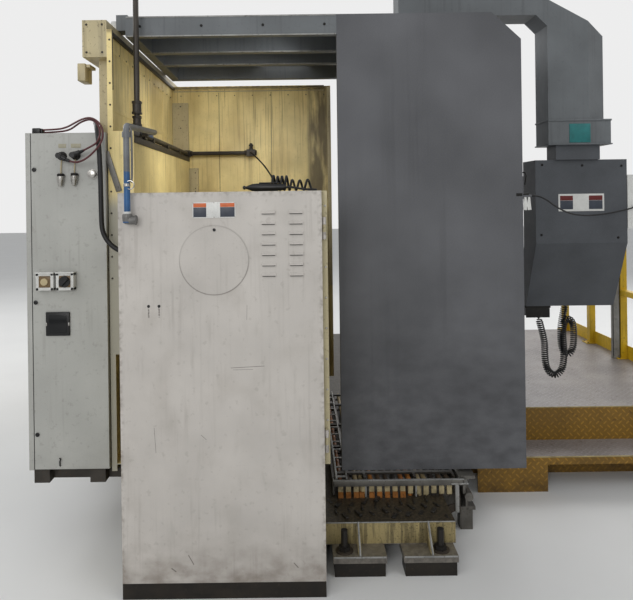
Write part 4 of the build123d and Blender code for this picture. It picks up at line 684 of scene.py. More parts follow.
class Finishes(Enum):
    """Every finish of the machine."""

    COVER = CoverPaint(
        "cover_paint", "white_paint", (0.735, 0.715, 0.69), 0.42, wander=0.05, grain=0.02, soil_and_shade=(0.33, 0.27, 0.21),
        streaks=0.16, spots=0.14, spot_size=26.0, grime_and_shade=0.85, grime_and_shade_top=420.0, bump=0.1,
    )
    PLATE = Finish(
        "plate_paint", "white_paint", (0.72, 0.70, 0.675), 0.42, wander=0.05, grain=0.02, soil_and_shade=(0.36, 0.31, 0.26),
        streaks=0.2, spots=0.12, bump=0.1,
    )
    HOUSING = Finish(
        "housing_paint", "cream_paint", (0.70, 0.66, 0.53), 0.46, wander=0.08, soil_and_shade=OIL, streaks=0.5, spots=0.3,
        grime_and_shade=0.8,
    )
    CABINET = Finish(
        "cabinet_paint", "grey_paint", (0.665, 0.665, 0.645), 0.45, wander=0.045, grain=0.02, soil_and_shade=(0.30, 0.26, 0.21),
        streaks=0.2, spots=0.16, spot_size=20.0, grime_and_shade=0.7, grime_and_shade_top=760.0, bump=0.1,
    )
    GUARD = GuardPaint(
        "guard_paint", "yellow_paint", (0.90, 0.82, 0.57), 0.42, wander=0.1, grain=0.03, soil_and_shade=(0.40, 0.28, 0.12),
        streaks=0.4, streak_width=20.0, spots=0.16, bump=0.2, bump_size=9.0,
    )
    CREAM_METAL = Finish(
        "cream_metal", "cream_paint", (0.71, 0.66, 0.52), 0.45, wander=0.1, soil_and_shade=OIL, streaks=0.45, spots=0.45,
        grime_and_shade=0.7,
    )
    BED = BedPaint(
        "bed_paint", "cream_paint", (0.58, 0.525, 0.365), 0.46, wander=0.12, soil_and_shade=OIL, streaks=0.35, spots=0.4,
        grime_and_shade=0.6, grime_and_shade_top=200.0, bump=0.35, bump_size=12.0,
    )
    CAST = Finish(
        "cast_paint", "cream_paint", (0.68, 0.64, 0.50), 0.48, wander=0.1, soil_and_shade=OIL, streaks=0.4, spots=0.3,
        bump=0.4, bump_size=7.0,
    )
    # The hood darkens towards its bottom, up to 2.1 m in a neutral grey: painted shade of light falling off
    # downwards, not dirt.
    HOOD = Finish(
        "hood_paint", "hood_paint", (0.385, 0.388, 0.40), 0.58, wander=0.1, patch_size=520.0, grain=0.06,
        grain_size=4.0, soil_and_shade=(0.20, 0.20, 0.205), streaks=0.14, streak_width=40.0, spots=0.1, spot_size=9.0,
        grime_and_shade=0.6, grime_and_shade_top=2100.0, bump=0.22, bump_size=5.0, shine=0.12,
    )
    BEAM = Finish(
        "beam_paint", "hood_paint", (0.385, 0.40, 0.41), 0.5, wander=0.08, soil_and_shade=(0.20, 0.19, 0.18), streaks=0.3,
        spots=0.15, bump=0.22, bump_size=5.0,
    )
    PENDANT = Finish(
        "pendant_paint", "hood_paint", (0.31, 0.32, 0.335), 0.44, wander=0.07, patch_size=180.0, grain=0.07,
        grain_size=3.0, soil_and_shade=(0.42, 0.43, 0.43), spots=0.1, spot_size=7.0, bump=0.35, bump_size=2.6, shine=0.2,
    )
    BLACK_METAL = Finish(
        "black_metal", "black_paint", (0.105, 0.10, 0.095), 0.5, wander=0.12, soil_and_shade=(0.24, 0.21, 0.17), spots=0.3,
        grime_and_shade=0.4, bump=0.3, shine=0.2,
    )
    IRON = Finish(
        "dark_iron", "dark_iron", (0.22, 0.205, 0.185), 0.46, 0.35, wander=0.16, patch_size=90.0,
        soil_and_shade=(0.33, 0.25, 0.17), spots=0.45, spot_size=9.0, grime_and_shade=0.5, bump=0.5, bump_size=4.0,
    )
    RAIL = Finish(
        "rail_iron", "dark_iron", (0.41, 0.40, 0.38), 0.42, 0.4, wander=0.14, patch_size=120.0, soil_and_shade=OIL, streaks=0.4,
        spots=0.5, grime_and_shade=0.4, bump=0.3,
    )
    STEEL = Finish(
        "bright_steel", "bright_steel", (0.66, 0.65, 0.63), 0.28, 0.95, wander=0.1, patch_size=60.0, grain=0.08,
        grain_size=1.2, soil_and_shade=(0.33, 0.28, 0.22), spots=0.2, bump=0.15,
    )
    OCHRE = TreadPaint(
        "tread_paint", "tread_steel", (0.58, 0.435, 0.15), 0.42, wander=0.14, soil_and_shade=(0.24, 0.18, 0.10), spots=0.4,
        spot_size=22.0, grime_and_shade=0.75, grime_and_shade_top=190.0, bump=0.8,
    )
    SAFETY = Finish(
        "safety_paint", "safety_yellow", (0.80, 0.66, 0.14), 0.4, wander=0.12, soil_and_shade=(0.22, 0.17, 0.09), spots=0.35,
        spot_size=16.0, streaks=0.25, bump=0.2,
    )
    LEG = PipePaint(
        "leg_paint", "blue_paint", (0.17, 0.33, 0.50), 0.38, wander=0.12, patch_size=60.0, soil_and_shade=(0.28, 0.28, 0.27),
        spots=0.35, spot_size=8.0, bump=0.25,
    )
    BLUE = Finish(
        "valve_blue", "blue_paint", (0.14, 0.30, 0.50), 0.35, wander=0.1, patch_size=30.0, spots=0.2, bump=0.15,
    )
    CABLES = CablePaint("cable_jackets", "black_rubber", (0.3, 0.25, 0.2), 0.5, soil_and_shade=(0.12, 0.10, 0.08), bump=0.2)
    RUBBER = Finish(
        "black_rubber", "black_rubber", (0.075, 0.075, 0.078), 0.48, wander=0.14, patch_size=40.0,
        soil_and_shade=(0.30, 0.27, 0.23), spots=0.2, spot_size=6.0, bump=0.25, bump_size=1.2,
    )
    RED_RUBBER = Finish(
        "dark_red_rubber", "black_rubber", (0.33, 0.17, 0.18), 0.45, wander=0.12, patch_size=40.0, spots=0.15,
        bump=0.2, bump_size=1.2,
    )
    BLACK = Finish(
        "black_plastic", "black_plastic", (0.07, 0.07, 0.072), 0.36, wander=0.1, patch_size=50.0,
        soil_and_shade=(0.30, 0.28, 0.25), spots=0.14, bump=0.2, bump_size=0.9,
    )
    GREY_PLASTIC = Finish(
        "grey_plastic", "black_plastic", (0.33, 0.34, 0.35), 0.4, wander=0.06, patch_size=50.0, spots=0.1, bump=0.15,
    )
    WHITE = Finish(
        "white_plastic", "white_plastic", (0.80, 0.80, 0.785), 0.38, wander=0.05, patch_size=60.0,
        soil_and_shade=(0.42, 0.38, 0.32), spots=0.16, bump=0.1,
    )
    BEIGE = Finish(
        "beige_plastic", "beige_plastic", (0.70, 0.64, 0.50), 0.4, wander=0.06, patch_size=50.0, spots=0.2,
        soil_and_shade=(0.35, 0.28, 0.19), bump=0.12,
    )
    ORANGE = Finish(
        "orange_plastic", "orange_plastic", (0.56, 0.36, 0.17), 0.46, wander=0.16, patch_size=40.0, soil_and_shade=OIL,
        spots=0.6, spot_size=12.0, bump=0.2,
    )
    RED = Finish("red_plastic", "red_plastic", (0.70, 0.08, 0.06), 0.3, wander=0.06, patch_size=30.0, bump=0.1)
    GREEN = Finish("turquoise_paint", "blue_paint", (0.13, 0.42, 0.42), 0.4, wander=0.1, patch_size=50.0, spots=0.2)
    DARK_RED = Finish("header_paint", "red_plastic", (0.36, 0.10, 0.09), 0.4, wander=0.08, patch_size=30.0)
    SCREEN = Finish(
        "screen_glass", "black_plastic", (0.035, 0.045, 0.05), 0.14, wander=0.1, patch_size=200.0, spots=0.05,
        bump=0.02,
    )
    SIGN_ORANGE = Finish("sign_orange", "orange_plastic", (0.76, 0.38, 0.20), 0.4, wander=0.08, patch_size=30.0)
    SIGN_DARK = Finish("sign_dark", "black_plastic", (0.21, 0.23, 0.27), 0.4, wander=0.08, patch_size=30.0)
    LIGHT_GREY = Finish(
        "light_grey_metal", "grey_paint", (0.55, 0.55, 0.54), 0.45, 0.15, wander=0.12, patch_size=70.0, soil_and_shade=OIL,
        streaks=0.3, spots=0.5, bump=0.25,
    )
    GREY_IRON = Finish(
        "grey_iron", "dark_iron", (0.40, 0.395, 0.385), 0.45, 0.2, wander=0.14, patch_size=40.0,
        soil_and_shade=(0.24, 0.21, 0.18), spots=0.4, spot_size=7.0, bump=0.4, bump_size=3.0,
    )
    SOOT = Finish(
        "oily_soot", "dark_iron", (0.13, 0.12, 0.105), 0.38, wander=0.2, patch_size=40.0, spots=0.3, bump=0.6,
    )
    MARKER = Finish(
        "cable_marker", "beige_plastic", (0.62, 0.57, 0.44), 0.45, wander=0.16, patch_size=30.0, soil_and_shade=OIL, spots=0.5,
    )
    TAG = Finish("tag_paint", "beige_plastic", (0.62, 0.60, 0.52), 0.45, wander=0.05, patch_size=30.0)
    BROWN = Finish("inset_plastic", "beige_plastic", (0.42, 0.34, 0.23), 0.4, wander=0.1, patch_size=30.0, spots=0.2)
    TREAD_EDGE = Finish(
        "tread_edge", "tread_steel", (0.60, 0.54, 0.38), 0.4, 0.2, wander=0.2, patch_size=60.0, spots=0.4,
    )
    GLASS = Glass("smoked_glass", "window_glass", (0.24, 0.26, 0.26), 0.06, wander=0.05, grain=0.01)

    def made(self) -> bpy.types.Material:
        """The finish's material, made once."""
        return bpy.data.materials.get(self.value.label) or self.value.material()


class Shape:
    """Faces gathered in machine millimetres that become one object."""

    def __init__(self) -> None:
        """Starts with no faces."""
        self.mesh = bmesh.new()

    def box(self, x: Span, y: Span, z: Span, bevel: float = 0, turn: Matrix | None = None) -> "Shape":
        """A box with rounded edges.

        Args:
            x: Its span along X.
            y: Its span along Y.
            z: Its span along Z.
            bevel: Width of the rounding.
            turn: Rotation about the box's middle.

        Returns:
            The shape itself.
        """
        spans = [sorted(span) for span in (x, y, z)]
        middle = Vector([sum(span) / 2 for span in spans])
        size = [span[1] - span[0] for span in spans]
        made = bmesh.ops.create_cube(self.mesh, size=1.0)["verts"]
        matrix = Matrix.Translation(middle) @ (turn or Matrix()) @ Matrix.Diagonal((*size, 1))
        bmesh.ops.transform(self.mesh, matrix=matrix, verts=made)
        if bevel:
            edges = list({edge for vertex in made for edge in vertex.link_edges})
            width = min(bevel, 0.45 * min(size))
            bmesh.ops.bevel(self.mesh, geom=edges, offset=width, segments=3, profile=0.5, affect="EDGES")
        return self

    def rim(self, spans: Sequence[Span], facing: int, width: float, bevel: float) -> "Shape":
        """Four bars round a rectangle.

        Args:
            spans: The rim's outer spans along X, Y and Z.
            facing: Number of the axis that the rim faces.
            width: Width of its bars.
            bevel: Width of the rounding.

        Returns:
            The shape itself.
        """
        for axis in {0, 1, 2} - {facing}:
            low, high = spans[axis]
            for side in ((low, low + width), (high - width, high)):
                self.box(*(side if number == axis else span for number, span in enumerate(spans)), bevel)
        return self

    def turned(self, start: Point, end: Point, profile: Sequence[Span], sides: int = 32) -> "Shape":
        """A solid turned about the line from start towards end.

        Args:
            start: First point of the axis.
            end: Another point of the axis.
            profile: Way along the axis and radius of each ring; the ends are closed.
            sides: Corners of each ring.

        Returns:
            The shape itself.
        """
        axis = (Vector(end) - Vector(start)).normalized()
        turn = axis.to_track_quat("Z", "Y").to_matrix()
        rings = []
        for along, radius in profile:
            ring = []
            for number in range(sides):
                angle = 2 * math.pi * number / sides
                spot = Vector((radius * math.cos(angle), radius * math.sin(angle), along))
                ring.append(self.mesh.verts.new(Vector(start) + turn @ spot))
            rings.append(ring)
        self.skin(rings)
        return self

    def skin(self, rings: Sequence[Sequence[bmesh.types.BMVert]]) -> None:
        """Faces between rings of vertices, closed at both ends.

        Args:
            rings: The rings in order, all with the same number of vertices.
        """
        for lower, upper in zip(rings, rings[1:]):
            for number in range(len(lower)):
                after = (number + 1) % len(lower)
                self.mesh.faces.new((lower[number], lower[after], upper[after], upper[number]))
        self.mesh.faces.new(list(reversed(rings[0])))
        self.mesh.faces.new(rings[-1])

    def rod(self, start: Point, end: Point, radius: float, bevel: float = 0, sides: int = 28) -> "Shape":
        """A round bar with chamfered ends.

        Args:
            start: Middle of its first end.
            end: Middle of its other end.
            radius: Its radius.
            bevel: Width of the chamfer.
            sides: Corners of its outline; 6 makes a nut.

        Returns:
            The shape itself.
        """
        length = (Vector(end) - Vector(start)).length
        profile = [(0, radius), (length, radius)]
        if bevel:
            profile = [(0, radius - bevel), (bevel, radius), (length - bevel, radius), (length, radius - bevel)]
        return self.turned(start, end, profile, sides)

    def screws(self, places: Sequence[Point], out: Point, radius: float = 4, sides: int = 16) -> "Shape":
        """Pan-headed screws with sunk hexagons.

        Args:
            places: Middle of each head's underside.
            out: Direction away from the surface.
            radius: The head's radius.
            sides: Corners of the head's outline; 6 makes a bolt.

        Returns:
            The shape itself.
        """
        outline = ((0.35, 1), (0.62, 0.75), (0.62, 0.45), (0.25, 0.4))
        profile = [(-0.4, radius)] + [(along * radius, share * radius) for along, share in outline]
        for place in places:
            tip = tuple(part + way for part, way in zip(place, out))
            self.turned(place, tip, profile, sides)
        return self

    def prism(self, outline: Sequence[Span], x: Span) -> "Shape":
        """An outline of (y, z) points drawn out along X.

        Args:
            outline: The corners in order.
            x: The span along X.

        Returns:
            The shape itself.
        """
        rings = [[self.mesh.verts.new((place, y, z)) for y, z in outline] for place in x]
        self.skin(rings)
        return self

    def tube(self, points: Sequence[Sequence[float]], radius: float, sides: int = 10) -> "Shape":
        """A round tube along points.

        Args:
            points: The centreline.
            radius: The tube's radius.
            sides: Corners of its section.

        Returns:
            The shape itself.
        """
        line = [Vector(point) for point in points]
        side = Vector((0.31, 0.17, 0.93))
        rings = []
        for number, middle in enumerate(line):
            ahead = line[min(number + 1, len(line) - 1)] - line[max(number - 1, 0)]
            ahead.normalize()
            side = (side - ahead * side.dot(ahead)).normalized()
            up = ahead.cross(side)
            ring = []
            for corner in range(sides):
                angle = 2 * math.pi * corner / sides
                ring.append(self.mesh.verts.new(middle + radius * (side * math.cos(angle) + up * math.sin(angle))))
            rings.append(ring)
        self.skin(rings)
        return self

    def place(self, name: str, finish: Finishes, body: str = "machine") -> bpy.types.Object:
        """The shape as an object that rides on a body.

        Args:
            name: The object's name.
            finish: Its finish.
            body: The body that carries it.

        Returns:
            The object.
        """
        bmesh.ops.recalc_face_normals(self.mesh, faces=self.mesh.faces)
        for edge in self.mesh.edges:
            edge.smooth = edge.calc_face_angle(0) < SHARP
        for face in self.mesh.faces:
            face.smooth = True
        for vertex in self.mesh.verts:
            vertex.co = metres(vertex.co)
        data = bpy.data.meshes.new(name)
        self.mesh.to_mesh(data)
        self.mesh.free()
        piece = bpy.data.objects.new(name, data)
        bpy.context.scene.collection.objects.link(piece)
        data.materials.append(finish.made())
        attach(piece, body)
        LOG.info("%s rides on %s, %d faces", name, body, len(data.polygons))
        return piece


@dataclass
class Studio:
    """The camera of the photograph, a pale floor and soft light."""

    eye: Point = (-2550, -341, 1600)
    lens: float = 36.06
    shift: Span = (0.029, -0.158)
    roll: float = -0.75
    floor_size: float = 60000.0
    sky: float = 0.44
    lamps: tuple[tuple[str, Point, Point, float, float], ...] = (
        ("key", (-4200, 4400, 6800), (900, -200, 1200), 4600, 100),
        ("front", (-4400, -5600, 6400), (900, -900, 1200), 4600, 90),
        ("low", (-6500, 1200, 3200), (1800, 0, 1700), 2400, 130),
        ("rear", (6200, -5200, 5600), (2400, -700, 900), 4600, 250),
        ("back", (4200, 6200, 5200), (1800, 500, 1100), 4600, 230),
    )
    work_light: tuple[str, Point, Point, float] = ("work_light", (640, -330, 2300), (1500, 400, 1800), 42)
    work_angle: float = 96.0
    work_blend: float = 0.8
    work_softness: float = 0.35
    sensor: float = 36.0
    far: float = 100.0
    floor_tones: tuple[Colour, Colour] = ((0.84, 0.84, 0.835), (0.89, 0.89, 0.885))
    backdrop: Colour = (0.93, 0.93, 0.93)
    sky_tone: tuple[float, float, float, float] = (0.96, 0.98, 1, 1)

    def set_camera(self) -> None:
        """Stands the camera at the photograph's place and view."""
        camera = bpy.data.objects.new("camera", bpy.data.cameras.new("camera"))
        camera.data.lens = self.lens
        camera.data.sensor_width = self.sensor
        camera.data.shift_x, camera.data.shift_y = self.shift
        camera.data.clip_end = self.far
        turn = Matrix.Rotation(math.radians(-90), 4, "Z") @ Matrix.Rotation(math.radians(90), 4, "X")
        turn = turn @ Matrix.Rotation(math.radians(self.roll), 4, "Z")
        camera.matrix_world = Matrix.Translation(metres(self.eye)) @ turn
        bpy.context.scene.collection.objects.link(camera)
        bpy.context.scene.camera = camera

    def set_floor(self) -> None:
        """Lays the pale floor."""
        shape = bmesh.new()
        bmesh.ops.create_grid(shape, x_segments=4, y_segments=4, size=self.floor_size / 2000)
        data = bpy.data.meshes.new("floor")
        shape.to_mesh(data)
        shape.free()
        tree = ShaderTree("floor_paint")
        cloud = tree.noise(900, 4)
        darker, paler = self.floor_tones
        colour = tree.mix(linear(darker), linear(paler), cloud)
        tree.feed(tree.shader.inputs["Base Color"], colour)
        tree.feed(tree.shader.inputs["Roughness"], cloud * 0.1 + 0.6)
        data.materials.append(tree.material)
        floor = bpy.data.objects.new("floor", data)
        bpy.context.scene.collection.objects.link(floor)

    def set_world(self) -> None:
        """Lights the scene softly from all round and shows a pale backdrop."""
        world = bpy.data.worlds.new("studio")
        bpy.context.scene.world = world
        world.use_nodes = True
        tree = NodeTree(world.node_tree)
        light = tree.nodes["Background"]
        tree.feed(light.inputs[0], self.sky_tone)
        tree.feed(light.inputs[1], self.sky)
        shown = tree.node("ShaderNodeBackground", {}, {0: linear(self.backdrop)})
        ray = tree.node("ShaderNodeLightPath")
        seen = Value(tree, ray.outputs["Is Camera Ray"]).most(Value(tree, ray.outputs["Is Glossy Ray"]))
        seen = seen.most(Value(tree, ray.outputs["Is Transmission Ray"]))
        mix = tree.node("ShaderNodeMixShader", {}, {0: seen, 1: light.outputs[0], 2: shown.outputs[0]})
        tree.feed(tree.nodes["World Output"].inputs[0], mix.outputs[0])

    def hang(self, name: str, kind: str, place: Point, aim: Point, power: float) -> bpy.types.Object:
        """A lamp that the camera doesn't see.

        Args:
            name: The lamp's name.
            kind: Its type.
            place: Where it hangs.
            aim: The point that it shines at.
            power: Its power in watts.

        Returns:
            The lamp.
        """
        lamp = bpy.data.objects.new(name, bpy.data.lights.new(name, kind))
        lamp.data.energy = power
        turn = (metres(aim) - metres(place)).to_track_quat("-Z", "Y").to_matrix().to_4x4()
        lamp.matrix_world = Matrix.Translation(metres(place)) @ turn
        lamp.visible_camera = False
        bpy.context.scene.collection.objects.link(lamp)
        return lamp

    def set_lamps(self) -> None:
        """Hangs the soft lamps."""
        for name, place, aim, size, power in self.lamps:
            self.hang(name, "AREA", place, aim, power).data.size = size / 1000

    def set_work_light(self) -> None:
        """A soft light under the hood's roof, for the guards' inner sides."""
        name, place, aim, power = self.work_light
        lamp = self.hang(name, "SPOT", place, aim, power)
        lamp.data.spot_size = math.radians(self.work_angle)
        lamp.data.spot_blend = self.work_blend
        lamp.data.shadow_soft_size = self.work_softness
        lamp.visible_glossy = False

    def build(self) -> None:
        """Sets the camera, floor, world and lamps."""
        self.set_camera()
        self.set_floor()
        self.set_world()
        self.set_lamps()
        self.set_work_light()
        bpy.context.scene.view_settings.view_transform = "Standard"


@dataclass(frozen=True)
class Route:
    """A cord between two fixed places, with a strain relief at one of them."""

    name: str
    node: str
    body: str
    finish: Finishes
    radius: float
    length: float
    stiffness: str
    lay: str
    relief: tuple[Span, ...]
    held_last: bool
    points: tuple[Point, ...]
    plug: tuple[Span, Span, Span] | None = None


@dataclass
class Cords:
    """Every free cord and hose, as smooth lines with their end pieces."""

    hose: tuple[Point, ...] = (
        (1810, -20, 1930), (1765, -22, 1930), (1725, -50, 1904), (1695, -96, 1858), (1669, -142, 1800),
        (1641, -180, 1734), (1605, -204, 1672), (1545, -218, 1628), (1463, -226, 1606),
    )
    hose_radius: float = 5.0
    hose_rest: float = 1606.0
    sways: int = 9
    sway: float = 10.0
    sway_y: float = -222.0
    sway_end: float = 440.0
    lead_in: tuple[Point, ...] = (
        (450, -226, 1609), (392, -232, 1620), (345, -236, 1647), (295, -236, 1645), (235, -233, 1644),
    )
    lead_out: tuple[Point, ...] = (
        (168, -416, 1643), (146, -420, 1643), (124, -408, 1643), (115, -380, 1644),
        (116, -350, 1648), (120, -326, 1653), (125, -306, 1655.3), (128, -288, 1655.3),
    )
    cover_top: float = 1637.0
    coil_x: float = 190.0
    coil_turns: int = 7
    coil_stops: tuple[tuple[float, float, float], ...] = (
        (0, -226, 31.5), (0.5, -292, 29), (0.64, -316, 22), (0.9, -376, 21.5), (1, -404, 21.5),
    )
    turn_points: int = 14
    coil_waver: float = 1.1
    waver_rate: float = 2.3
    coil_gap: float = 1.5
    gun_height: float = 1655.3
    gun_tilt: float = -6.7
    gun_profile: tuple[Span, ...] = (
        (0, 8), (2, 10.5), (16, 13), (60, 15.5), (110, 17.5), (146, 15.5), (166, 8), (172, 5.5), (187, 5),
    )
    short_lead: Route = Route(
        "short_lead", "cabinet_leads", "machine", Finishes.RED_RUBBER, 4.5, 0.556, "medium", "loose",
        ((-1, 8), (5, 8), (24, 5.4)), False, (
            (306, 640, 1828), (284, 570, 1856), (267, 548, 1870), (258, 534, 1892), (255, 531, 1917),
            (256, 539, 1942), (262, 556, 1961), (272, 580, 1971), (286, 606, 1969), (312, 640, 1962),
            (345, 676, 1948), (378, 712, 1937), (400, 765, 1931), (404, 850, 1929),
        ),
    )
    long_lead: Route = Route(
        "long_lead", "cabinet_leads", "machine", Finishes.RED_RUBBER, 4.5, 0.685, "medium", "loose",
        ((-1, 8), (5, 8), (24, 5.4)), False, (
            (306, 704, 1796), (296, 665, 1780), (280, 625, 1785), (270, 590, 1803), (258, 559, 1827),
            (247, 534, 1851), (240, 517, 1878), (238, 513, 1909), (240, 522, 1940), (246, 545, 1964),
            (256, 575, 1977), (272, 608, 1975), (300, 642, 1969), (332, 682, 1957), (366, 722, 1947),
            (392, 775, 1941), (392, 850, 1940),
        ),
    )
    black_hose: Route = Route(
        "black_hose", "black_hose", "machine", Finishes.RUBBER, 11, 1.229, "medium", "loose",
        ((0, 19), (8, 19), (9, 15.5), (34, 12.2)), True, (
            (860, 652, 1934), (760, 648, 1934), (670, 640, 1935), (595, 633, 1942), (525, 624, 1955),
            (460, 614, 1969), (397, 596, 1973), (356, 580, 1961), (323, 567, 1936), (301, 556, 1902),
            (290, 549, 1862), (290, 546, 1808), (292, 544, 1730), (293, 543, 1640), (292, 542, 1550),
            (290, 539.5, 1481.5), (290, 525, 1442), (290, 499.5, 1408.5), (290, 465, 1384.5),
            (290, 425, 1372), (290, 385, 1372),
        ),
        ((858, 900), (632, 672), (1922, 1950)),
    )
    thin_cord: Route = Route(
        "thin_cord", "pendant_cord", "hood", Finishes.RUBBER, 4, 0.86, "limp", "hanging",
        ((0, 7), (6, 7), (22, 4.6)), True, (
            (553, -1482, 1606), (553, -1514, 1606), (575, -1562, 1588), (630, -1625, 1556), (705, -1705, 1524),
            (790, -1800, 1503), (865, -1900, 1495), (905, -2000, 1500), (916, -2090, 1514), (916, -2150, 1528),
            (922, -2180, 1537), (941, -2194, 1542),
        ),
    )
    curly: tuple[Point, ...] = (
        (1165, -1740, 892), (1160, -1754, 830), (1152, -1770, 750), (1146, -1766, 670), (1146, -1776, 592),
        (1146, -1824, 553), (1146, -1872, 594), (1146, -1880, 700), (1146, -1872, 790), (1150, -1878, 862),
        (1158, -1910, 892), (1168, -1944, 862), (1174, -1950, 780), (1180, -1946, 700), (1188, -1916, 662),
        (1191, -1884, 700), (1191, -1878, 790), (1188, -1886, 880), (1180, -1904, 968),
    )
    curl_radius: float = 17.2
    curl_pitch: float = 12.0
    curl_wire: float = 3.8
    curl_points: int = 12
    curl_ease: int = 18
    curl_share: float = 0.985

    def curve(self, name: str, points: Sequence[Sequence[float]], radius: float, smooth: int = 8) -> bpy.types.Object:
        """A smooth line through control points.

        Args:
            name: The object's name.
            points: The route in millimetres.
            radius: The cord's radius, or 0 for a bare line.
            smooth: Steps between two control points.

        Returns:
            The curve's object.
        """
        data = bpy.data.curves.new(name, "CURVE")
        data.dimensions = "3D"
        spline = data.splines.new("NURBS")
        spline.points.add(len(points) - 1)
        for place, point in zip(spline.points, points):
            place.co = (*metres(point), 1)
        spline.order_u = 3
        spline.use_endpoint_u = True
        spline.resolution_u = smooth
        data.bevel_depth = radius / 1000
        data.bevel_resolution = 3
        data.use_fill_caps = radius > 0
        thing = bpy.data.objects.new(name, data)
        bpy.context.scene.collection.objects.link(thing)
        return thing

    def line(self, name: str, points: Sequence[Sequence[float]], smooth: int = 8) -> list[Vector]:
        """Points along a route's smooth line, in millimetres.

        Args:
            name: Name of the passing curve.
            points: The route.
            smooth: Steps between two control points.

        Returns:
            The points in order.
        """
        thing = self.curve(name, points, 0, smooth)
        mesh = bpy.data.meshes.new_from_object(thing)
        found = [Vector((v.co.x * 1000 + MIDDLE_X, v.co.y * 1000 + MIDDLE_Y, v.co.z * 1000)) for v in mesh.vertices]
        bpy.data.meshes.remove(mesh)
        bpy.data.objects.remove(thing)
        return found

    def dress(self, thing: bpy.types.Object, body: str, finish: Finishes, nodes: Sequence[str]) -> None:
        """Gives a cord its finish, its body and the CAD nodes that it stands for.

        Args:
            thing: The cord.
            body: The body that carries it.
            finish: Its finish.
            nodes: The nodes that it replaces.
        """
        thing.data.materials.append(finish.made())
        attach(thing, body)
        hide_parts(*nodes)
        LOG.info("%s rides on %s", thing.name, body)

    def build_hose(self) -> None:
        """The air hose with its springy coil and the blow gun at its end."""
        points = list(self.hose)
        start = self.hose[-1][0]
        step = (start - self.sway_end) / self.sways
        for number in range(1, self.sways):
            side = self.sway if number % 2 else -self.sway
            points.append((start - step * number, self.sway_y + side, self.hose_rest))
        points += self.lead_in
        total = self.coil_turns * self.turn_points
        for number in range(total + 1):
            angle = -math.pi / 2 - 2 * math.pi * number / self.turn_points
            y, radius = self.coil_at(number / total)
            radius += self.coil_waver * math.sin(self.waver_rate * angle / math.pi)
            middle = self.cover_top + self.hose_radius + self.coil_gap + radius
            points.append((self.coil_x + radius * math.cos(angle), y, middle + radius * math.sin(angle)))
        points += self.lead_out
        hose = self.curve("air_hose_line", points, self.hose_radius)
        gun = self.blow_gun()
        self.dress(hose, "machine", Finishes.RUBBER, ["air_hose", "hose_coil"])
        line = self.line("route", points)
        metres(points[0])

    def coil_at(self, share: float) -> Span:
        """Place along Y and radius of the coil, part of the way along it.

        Args:
            share: The part of the coil, from 0 to 1.

        Returns:
            The place and the radius.
        """
        for (start, y, radius), (end, last_y, last_radius) in zip(self.coil_stops, self.coil_stops[1:]):
            if share <= end:
                part = (share - start) / (end - start)
                return (y + (last_y - y) * part, radius + (last_radius - radius) * part)
        return self.coil_stops[-1][1:]

    def blow_gun(self) -> bpy.types.Object:
        """The blow gun's moulded body, lever and nozzle.

        Returns:
            The gun's object.
        """
        z = self.gun_height
        tilt = Matrix.Rotation(math.radians(self.gun_tilt), 4, "Z")
        shape = Shape().turned((128, -292, z), (150, -106, z), self.gun_profile)
        shape.turned((148.6, -118, z), (149.8, -108, z), [(0, 5), (2, 8.5), (8, 8.5), (10, 6)], 20)
        shape.box((131, 143), (-262, -176), (1671.5, 1676.5), 2.2, tilt)
        piece = shape.place("blow_gun_body", Finishes.BLACK)
        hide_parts("blow_gun")
        return piece

    def run(self, route: Route) -> None:
        """A cord along its route, with its tapered strain relief and its plug.

        Args:
            route: The cord.
        """
        cord = self.curve(f"{route.name}_line", route.points, route.radius)
        line = self.line("route", route.points)
        if route.held_last:
            line.reverse()
        ahead = (line[1] - line[0]).normalized()
        relief = Shape().turned(tuple(line[0]), tuple(line[0] + ahead), route.relief, 20)
        held = [relief.place(f"{route.name}_relief", Finishes.BLACK, route.body)]
        if route.plug:
            held.append(Shape().box(*route.plug, 5).place(f"{route.name}_entry", Finishes.BLACK, route.body))
        self.dress(cord, route.body, route.finish, [route.node])
        metres(route.points[0])

    def lead_entry(self) -> None:
        """The plug by which both leads enter the cabinet."""
        entry = Shape().box((376, 420), (846, 884), (1922, 1948), 4)
        entry.box((382, 414), (838, 848), (1924, 1946), 3).place("lead_entry", Finishes.BLACK)

    def build_curly(self) -> None:
        """The handset's curly cord, as a helix along its hanging loops."""
        line = self.line("route", self.curly, 24)
        ways = [0.0]
        for first, second in zip(line, line[1:]):
            ways.append(ways[-1] + (second - first).length)
        turns = round(ways[-1] / self.curl_pitch)
        count = turns * self.curl_points
        points = [line[0]]
        side = Vector((1, 0, 0))
        index = 0
        for number in range(6, count - 5):
            way = ways[-1] * number / count
            while ways[index + 1] < way:
                index += 1
            share = (way - ways[index]) / (ways[index + 1] - ways[index])
            middle = line[index].lerp(line[index + 1], share)
            ahead = (line[min(index + 2, len(line) - 1)] - line[max(index - 1, 0)]).normalized()
            up = ahead.cross(side)
            angle = 2 * math.pi * number / self.curl_points
            ease = min(1, number / self.curl_ease, (count - number) / self.curl_ease)
            points.append(middle + self.curl_radius * ease * (side * math.cos(angle) + up * math.sin(angle)))
        points.append(line[-1])
        cord = self.curve("curly_cord_line", points, self.curl_wire, 3)
        self.dress(cord, "pendant", Finishes.RUBBER, ["curly_cord"])
        metres(points[0])

    def build(self) -> None:
        """Makes every cord."""
        self.build_hose()
        self.run(self.short_lead)
        self.run(self.long_lead)
        self.lead_entry()
        self.run(self.black_hose)
        self.run(self.thin_cord)
        self.build_curly()


